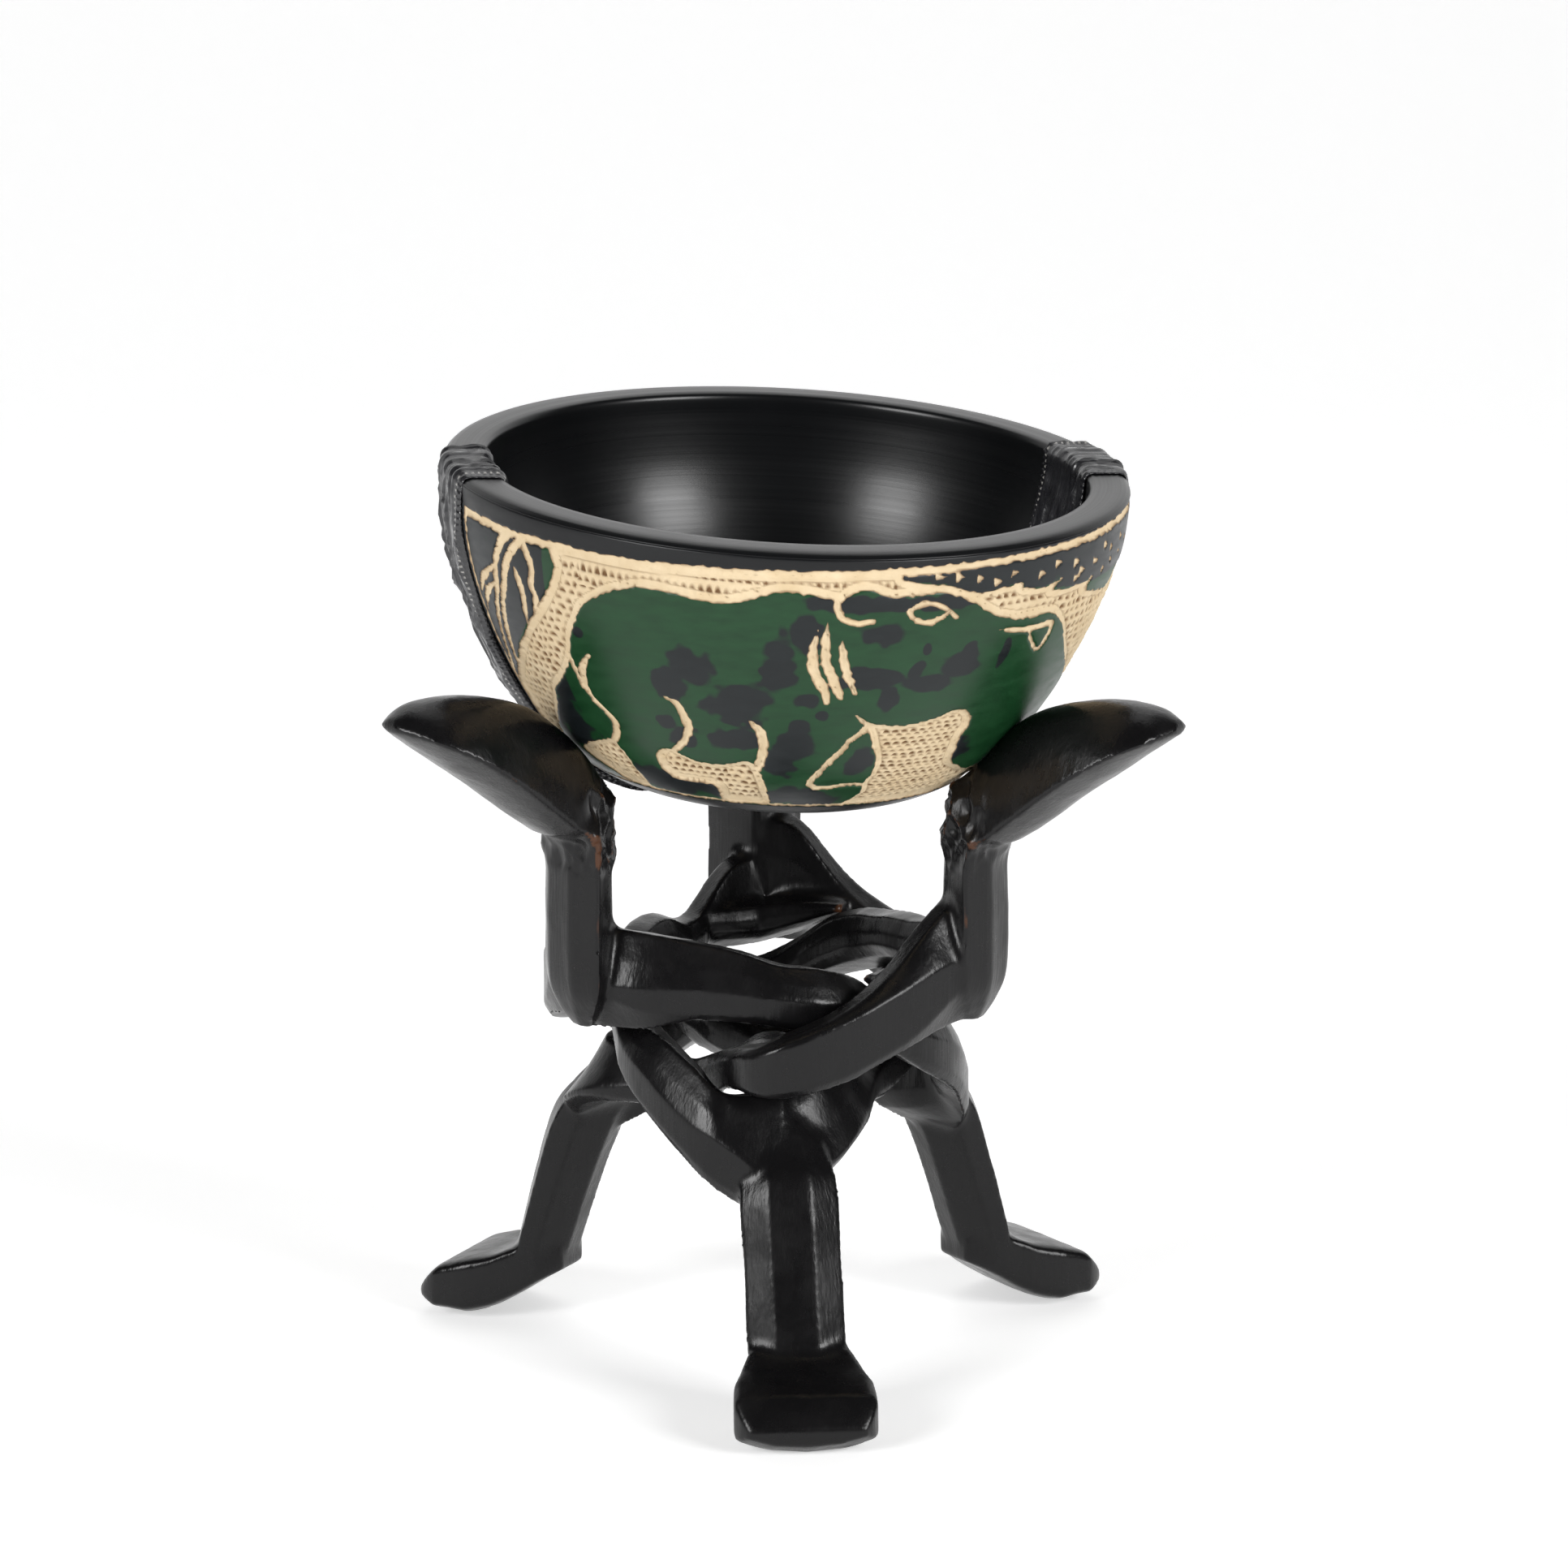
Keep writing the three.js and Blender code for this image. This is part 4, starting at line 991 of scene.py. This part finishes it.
def painted_wood(settings):
    """Wood painted charcoal and mottled green, waxed, and cut through to the pale bare wood: the
    cuts are matt, cream on their ridges, with painted shade in brown in their gouge marks."""
    material, tree = new_material("painted_and_cut_wood")
    place = add(tree, "TexCoord").outputs["Object"]
    cut, pit, blotch, band = (add(tree, "Attribute", {"attribute_name": name}).outputs["Fac"]
                              for name in ("cut", "pit", "blotch", "band"))
    # wood fibres 0.7 mm wide in the cuts, and tones 8 mm across
    fibre = add(tree, "TexNoise", inputs={"Vector": place, "Scale": 1500.0, "Detail": 3.0})
    tone = add(tree, "TexNoise", inputs={
        "Vector": place, "Scale": 130.0, "Detail": 4.0, "Roughness": 0.6})
    # brush marks 2.4 mm wide and 8 mm long in the paint
    brush_place = add(tree, "Mapping", inputs={"Vector": place, "Scale": (0.3, 0.3, 1)})
    brush = add(tree, "TexNoise", inputs={
        "Vector": brush_place.outputs[0], "Scale": 420.0, "Detail": 4.0})
    # the paint: green, charcoal in the blotches, and the rim's black above and below the band
    charcoal_mask = add(tree, "MapRange", inputs={0: blotch, 1: -0.10, 2: 0.10, 3: 0.0, 4: 1.0})
    green = add(tree, "Mix", RGBA, {
        0: brush.outputs[0], 6: tuple(settings.green_dark), 7: tuple(settings.green)})
    charcoal = add(tree, "Mix", RGBA, {
        0: brush.outputs[0], 6: tuple(settings.charcoal), 7: tuple(settings.charcoal_light)})
    drawn = add(tree, "Mix", RGBA, {
        0: charcoal_mask.outputs[0], 6: green.outputs[2], 7: charcoal.outputs[2]})
    band_mask = add(tree, "MapRange", inputs={0: band, 1: -0.1, 2: 0.1, 3: 0.0, 4: 1.0})
    paint = add(tree, "Mix", RGBA, {
        0: band_mask.outputs[0], 6: drawn.outputs[2], 7: tuple(settings.inside_light)})
    # the cuts: cream, with painted shade in brown in the gouge marks, and brown along the cut edges
    pale = add(tree, "Mix", RGBA, {
        0: tone.outputs[0], 6: tuple(settings.cream), 7: tuple(settings.cream_light)})
    # painted shade: brown where the gouge marks and grooves are deepest, standing in for the shade at
    # their ledges
    pit_shade_mask = add(tree, "MapRange", inputs={0: pit, 1: 0.22, 2: 0.62, 3: 0.0, 4: 0.95})
    gouged = add(tree, "Mix", RGBA, {
        0: pit_shade_mask.outputs[0], 6: pale.outputs[2], 7: tuple(settings.brown)})
    edge_mask = add(tree, "MapRange", inputs={0: cut, 1: -0.45, 2: -0.05, 3: 0.0, 4: 0.8})
    edged = add(tree, "Mix", RGBA, {
        0: edge_mask.outputs[0], 6: gouged.outputs[2], 7: tuple(settings.brown)})
    painted_mask = add(tree, "MapRange", inputs={0: cut, 1: -0.06, 2: 0.06, 3: 0.0, 4: 1.0})
    colour = add(tree, "Mix", RGBA, {
        0: painted_mask.outputs[0], 6: edged.outputs[2], 7: paint.outputs[2]})
    paint_rough = add(tree, "MapRange", inputs={
        0: brush.outputs[0], 1: 0.3, 2: 0.7, 3: 0.30, 4: 0.42})
    rough = add(tree, "Mix", {"data_type": "FLOAT"}, {
        0: painted_mask.outputs[0], 2: 0.75, 3: paint_rough.outputs[0]})
    cut_bump = add(tree, "Bump", inputs={
        "Strength": 0.5, "Distance": 0.00025, "Height": fibre.outputs[0]})
    paint_bump = add(tree, "Bump", inputs={
        "Strength": 0.15, "Distance": 0.0001, "Height": brush.outputs[0]})
    normal = add(tree, "Mix", {"data_type": "VECTOR"}, {
        0: painted_mask.outputs[0], 4: cut_bump.outputs[0], 5: paint_bump.outputs[0]})
    shader = add(tree, "BsdfPrincipled", inputs={
        "Base Color": colour.outputs[2], "Roughness": rough.outputs[0], "IOR": 1.5,
        "Specular IOR Level": 0.32, "Normal": normal.outputs[1]})
    add(tree, "OutputMaterial", inputs={"Surface": shader.outputs[0]})
    return material


def glazed_leather(settings):
    """Black glazed goat leather, wetted and pulled over the rim: glossy, with a painted highlight on
    the crests of its folds, duller in the creases, with a fine pebbled grain and worn light dots along
    the beaded seam."""
    material, tree = new_material("black_glazed_leather")
    place = add(tree, "TexCoord").outputs["Object"]
    # pebbled grain 0.7 mm across, and tones 6 mm across
    pebble = add(tree, "TexVoronoi", inputs={"Vector": place, "Scale": 1400.0})
    tone = add(tree, "TexNoise", inputs={"Vector": place, "Scale": 180.0, "Detail": 4.0})
    base = add(tree, "Mix", RGBA, {
        0: tone.outputs[0], 6: tuple(settings.leather), 7: tuple(settings.leather_light)})
    bead, crest = (add(tree, "Attribute", {"attribute_name": name}).outputs["Fac"]
                   for name in ("bead", "crest"))
    # painted highlight: the crests of the folds are painted the lighter leather grey, standing in for
    # the glints of the lights
    rubbed = add(tree, "Mix", RGBA, {
        0: crest, 6: base.outputs[2], 7: tuple(settings.leather_light)})
    bead_mask = add(tree, "MapRange", inputs={0: bead, 1: 0.25, 2: 0.6, 3: 0.0, 4: 0.85})
    colour = add(tree, "Mix", RGBA, {
        0: bead_mask.outputs[0], 6: rubbed.outputs[2], 7: tuple(settings.seam)})
    rough = add(tree, "MapRange", inputs={0: tone.outputs[0], 1: 0.3, 2: 0.7, 3: 0.24, 4: 0.40})
    bump = add(tree, "Bump", inputs={
        "Strength": 0.3, "Distance": 0.00015, "Height": pebble.outputs[0]})
    shader = add(tree, "BsdfPrincipled", inputs={
        "Base Color": colour.outputs[2], "Roughness": rough.outputs[0], "IOR": 1.5,
        "Coat Weight": 0.5, "Coat Roughness": 0.16, "Normal": bump.outputs[0]})
    add(tree, "OutputMaterial", inputs={"Surface": shader.outputs[0]})
    return material


def lit_acrylic(settings):
    """White satin acrylic table, lit from below: it glows evenly and leaves only faint shadows."""
    material, tree = new_material("backlit_white_acrylic")
    shader = add(tree, "BsdfPrincipled", inputs={
        "Base Color": tuple(settings.table), "Roughness": 0.9, "Specular IOR Level": 0.1,
        "Emission Color": (1, 1, 1, 1), "Emission Strength": settings.glow})
    add(tree, "OutputMaterial", inputs={"Surface": shader.outputs[0]})
    return material


# ---------------------------------------------------------------- settings
def colour_setting(name, description, hex_colour):
    """A colour that the panel shows, given as sRGB hex."""
    return bpy.props.FloatVectorProperty(name=name, description=description, subtype="COLOR", size=4,
                                         min=0, max=1, default=linear(hex_colour))


class StandSettings(bpy.types.PropertyGroup):
    voxel: bpy.props.FloatProperty(
        name="Carving fineness", description="Size of the finest detail of the legs, in millimetres",
        default=0.75, min=0.65, max=4)
    stain: colour_setting("Stain", "Black stain of the legs", "#0a0a0b")
    stain_light: colour_setting("Thin stain", "Where the stain is thinner", "#141314")
    worn: colour_setting("Worn wood", "Bare wood on rubbed edges", "#5c3820")


class BowlSettings(bpy.types.PropertyGroup):
    spacing: bpy.props.FloatProperty(
        name="Cut fineness", description="Grid spacing of the cut wall, in millimetres",
        default=0.56, min=0.54, max=3)
    inside: colour_setting("Inside", "Black stain of the inside and rim", "#08090a")
    inside_light: colour_setting("Thin inside", "Where the inside stain is thinner", "#101113")
    green: colour_setting("Green", "Green paint", "#1b4526")
    green_dark: colour_setting("Dark green", "Green paint where it lies thick", "#0c2c16")
    charcoal: colour_setting("Charcoal", "Charcoal paint", "#0e1214")
    charcoal_light: colour_setting("Thin charcoal", "Charcoal paint where it is rubbed", "#1b2022")
    cream: colour_setting("Cut wood", "Bare wood in the cuts", "#c4ab84")
    cream_light: colour_setting("Pale cut wood", "Bare wood on the ridges of the cuts", "#e4d2b2")
    # brown is the painted shade in the gouge marks and grooves, and also the brown along the cut edges
    brown: colour_setting("Gouge marks", "Painted shade in the gouge marks, and brown at cut edges", "#6e4d2d")


class StrapSettings(bpy.types.PropertyGroup):
    spacing: bpy.props.FloatProperty(
        name="Leather fineness", description="Grid spacing along a strap, in millimetres",
        default=0.45, min=0.3, max=3)
    leather: colour_setting("Leather", "Black leather", "#0e0e10")
    # the lighter leather is also the painted highlight on the crests of the folds
    leather_light: colour_setting("Lighter leather and fold highlight", "Leather on the folds", "#26262a")
    seam: colour_setting("Seam", "Worn beads of the seam", "#b9b6b0")


class StageSettings(bpy.types.PropertyGroup):
    table: colour_setting("Table", "White acrylic of the table and its curved back", "#e6e6e6")
    glow: bpy.props.FloatProperty(
        name="Glow", description="Light from within the table", default=0.50, min=0)
    room_light: bpy.props.FloatProperty(
        name="Room light", description="Light from all round", default=0.04, min=0)
    distance: bpy.props.FloatProperty(
        name="Camera distance", description="From the middle of the view",
        default=2.0, unit="LENGTH")
    elevation: bpy.props.FloatProperty(
        name="Camera height", description="Angle above level",
        default=np.radians(13.05), subtype="ANGLE")
    swing: bpy.props.FloatProperty(
        name="Camera swing", description="Angle round from straight ahead",
        default=np.radians(-4.2), subtype="ANGLE")
    focal: bpy.props.FloatProperty(
        name="Focal length", description="In millimetres on a 36 mm sensor", default=173.24)


# ---------------------------------------------------------------- operators
class CARVED_OT_stage(bpy.types.Operator):
    """Make the lit table, the lights and the camera"""
    bl_idname = "carved.stage"
    bl_label = "Make the stage"

    def execute(self, context):
        settings = context.scene.carved_stage
        bend = np.linspace(0, np.pi / 2, 24)
        curve = np.stack([TABLE_BACK - TABLE_BEND + TABLE_BEND * np.sin(bend),
                          TABLE_BEND - TABLE_BEND * np.cos(bend)], 1)
        profile = np.concatenate([[(-TABLE_SIDE, 0.0)], curve, [(TABLE_BACK, TABLE_RISE)]])
        across = (-TABLE_SIDE, 0.0, TABLE_SIDE)
        points = [(x, y, z) for y, z in profile.tolist() for x in across]
        mesh = bpy.data.meshes.new("table")
        mesh.from_pydata(points, [], grid_faces(len(profile), len(across), False).tolist())
        mesh.polygons.foreach_set("use_smooth", np.ones(len(mesh.polygons), bool))
        mesh.materials.append(lit_acrylic(settings))
        table = new_object("table", mesh)

        e, a = settings.elevation, settings.swing
        away = np.array([np.sin(a) * np.cos(e), -np.cos(a) * np.cos(e), np.sin(e)])
        lens = bpy.data.cameras.new("camera")
        lens.sensor_width = 36
        lens.lens = settings.focal
        lens.clip_end = 50
        camera = new_object("camera", lens)
        camera.location = (np.array(VIEW_TARGET) * MM + away * settings.distance).tolist()
        camera.rotation_euler = (np.pi / 2 - e, 0, a)
        context.scene.camera = camera

        world = bpy.data.worlds.new("dim_studio")
        context.scene.world = world
        world.use_nodes = True
        background = world.node_tree.nodes["Background"]
        background.inputs["Color"].default_value = (1, 1, 1, 1)
        background.inputs["Strength"].default_value = settings.room_light
        context.scene.view_settings.view_transform = "Standard"
        for name, (place, size, power) in LAMPS.items():
            light = bpy.data.lights.new(name, "AREA")
            light.shape = "SQUARE"
            light.size = size
            light.energy = power
            lamp = new_object(name, light)
            lamp.location = place
            x, y, z = np.subtract(LAMP_TARGET, place)
            lamp.rotation_euler = (np.arctan2(np.hypot(x, y), -z), 0, np.arctan2(-x, y))
        return {"FINISHED"}


class CARVED_OT_legs(bpy.types.Operator):
    """Make the three carved, interlocked legs"""
    bl_idname = "carved.legs"
    bl_label = "Make the legs"

    def execute(self, context):
        settings = context.scene.carved_stand
        material = stained_wood(settings)
        for name, body in LEG_BODIES.items():
            leg = carve_leg(name, settings.voxel)
            leg.data.materials.clear()
            leg.data.materials.append(material)
            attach(leg, body)
            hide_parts(name)
        return {"FINISHED"}


class CARVED_OT_bowl(bpy.types.Operator):
    """Make the turned bowl with its cut and painted wall"""
    bl_idname = "carved.bowl"
    bl_label = "Make the bowl"

    def execute(self, context):
        settings = context.scene.carved_bowl
        core = turned_core("bowl_turned")
        core.data.materials.append(turned_wood(settings))
        painted = painted_wood(settings)
        seam = [azimuth for azimuth, _ in STRAPS.values()]
        front = wall_panel("bowl_wall_front", seam[0] + 0.01, seam[1] + 359.99, settings.spacing)
        back = wall_panel("bowl_wall_back", seam[1] + 0.01, seam[0] - 0.01, settings.spacing)
        for panel in (front, back):
            panel.data.materials.append(painted)
        for piece in (core, front, back):
            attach(piece, "bowl")
            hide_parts("bowl")
        return {"FINISHED"}


class CARVED_OT_straps(bpy.types.Operator):
    """Make the two wrinkled leather straps"""
    bl_idname = "carved.straps"
    bl_label = "Make the straps"

    def execute(self, context):
        settings = context.scene.carved_straps
        material = glazed_leather(settings)
        for name, (azimuth, end_radius) in STRAPS.items():
            strap = leather_strap(name, azimuth, end_radius, settings.spacing)
            strap.data.materials.append(material)
            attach(strap, "bowl")
            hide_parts(name)
        return {"FINISHED"}


class CARVED_PT_panel(bpy.types.Panel):
    """Lists what can be made and its settings"""
    bl_label = "Carved bowl"
    bl_idname = "CARVED_PT_panel"
    bl_space_type = "VIEW_3D"
    bl_region_type = "UI"
    bl_category = "Carved bowl"

    def draw(self, context):
        for operator, settings in ((CARVED_OT_stage, context.scene.carved_stage),
                                   (CARVED_OT_legs, context.scene.carved_stand),
                                   (CARVED_OT_bowl, context.scene.carved_bowl),
                                   (CARVED_OT_straps, context.scene.carved_straps)):
            box = self.layout.box()
            box.operator(operator.bl_idname)
            for key in settings.bl_rna.properties.keys():
                if key not in ("rna_type", "name"):
                    box.prop(settings, key)


CLASSES = (StandSettings, BowlSettings, StrapSettings, StageSettings, CARVED_OT_stage, CARVED_OT_legs,
           CARVED_OT_bowl, CARVED_OT_straps, CARVED_PT_panel)
POINTERS = {"carved_stand": StandSettings, "carved_bowl": BowlSettings, "carved_straps": StrapSettings,
            "carved_stage": StageSettings}


def register():
    """Make the settings, the operators and the panel known to Blender."""
    for kind in CLASSES:
        bpy.utils.register_class(kind)
    for key, kind in POINTERS.items():
        setattr(bpy.types.Scene, key, bpy.props.PointerProperty(type=kind))


def unregister():
    """Take them away again."""
    for key in POINTERS:
        delattr(bpy.types.Scene, key)
    for kind in reversed(CLASSES):
        bpy.utils.unregister_class(kind)


def main():
    """Make everything: the stage, the legs, the bowl and the straps. The size of the plain solids is
    kept at the top, in CAD_BOUNDS.
    """
    register()
    bpy.ops.carved.stage()
    bpy.ops.carved.legs()
    bpy.ops.carved.bowl()
    bpy.ops.carved.straps()


if __name__ == "__main__":
    main()
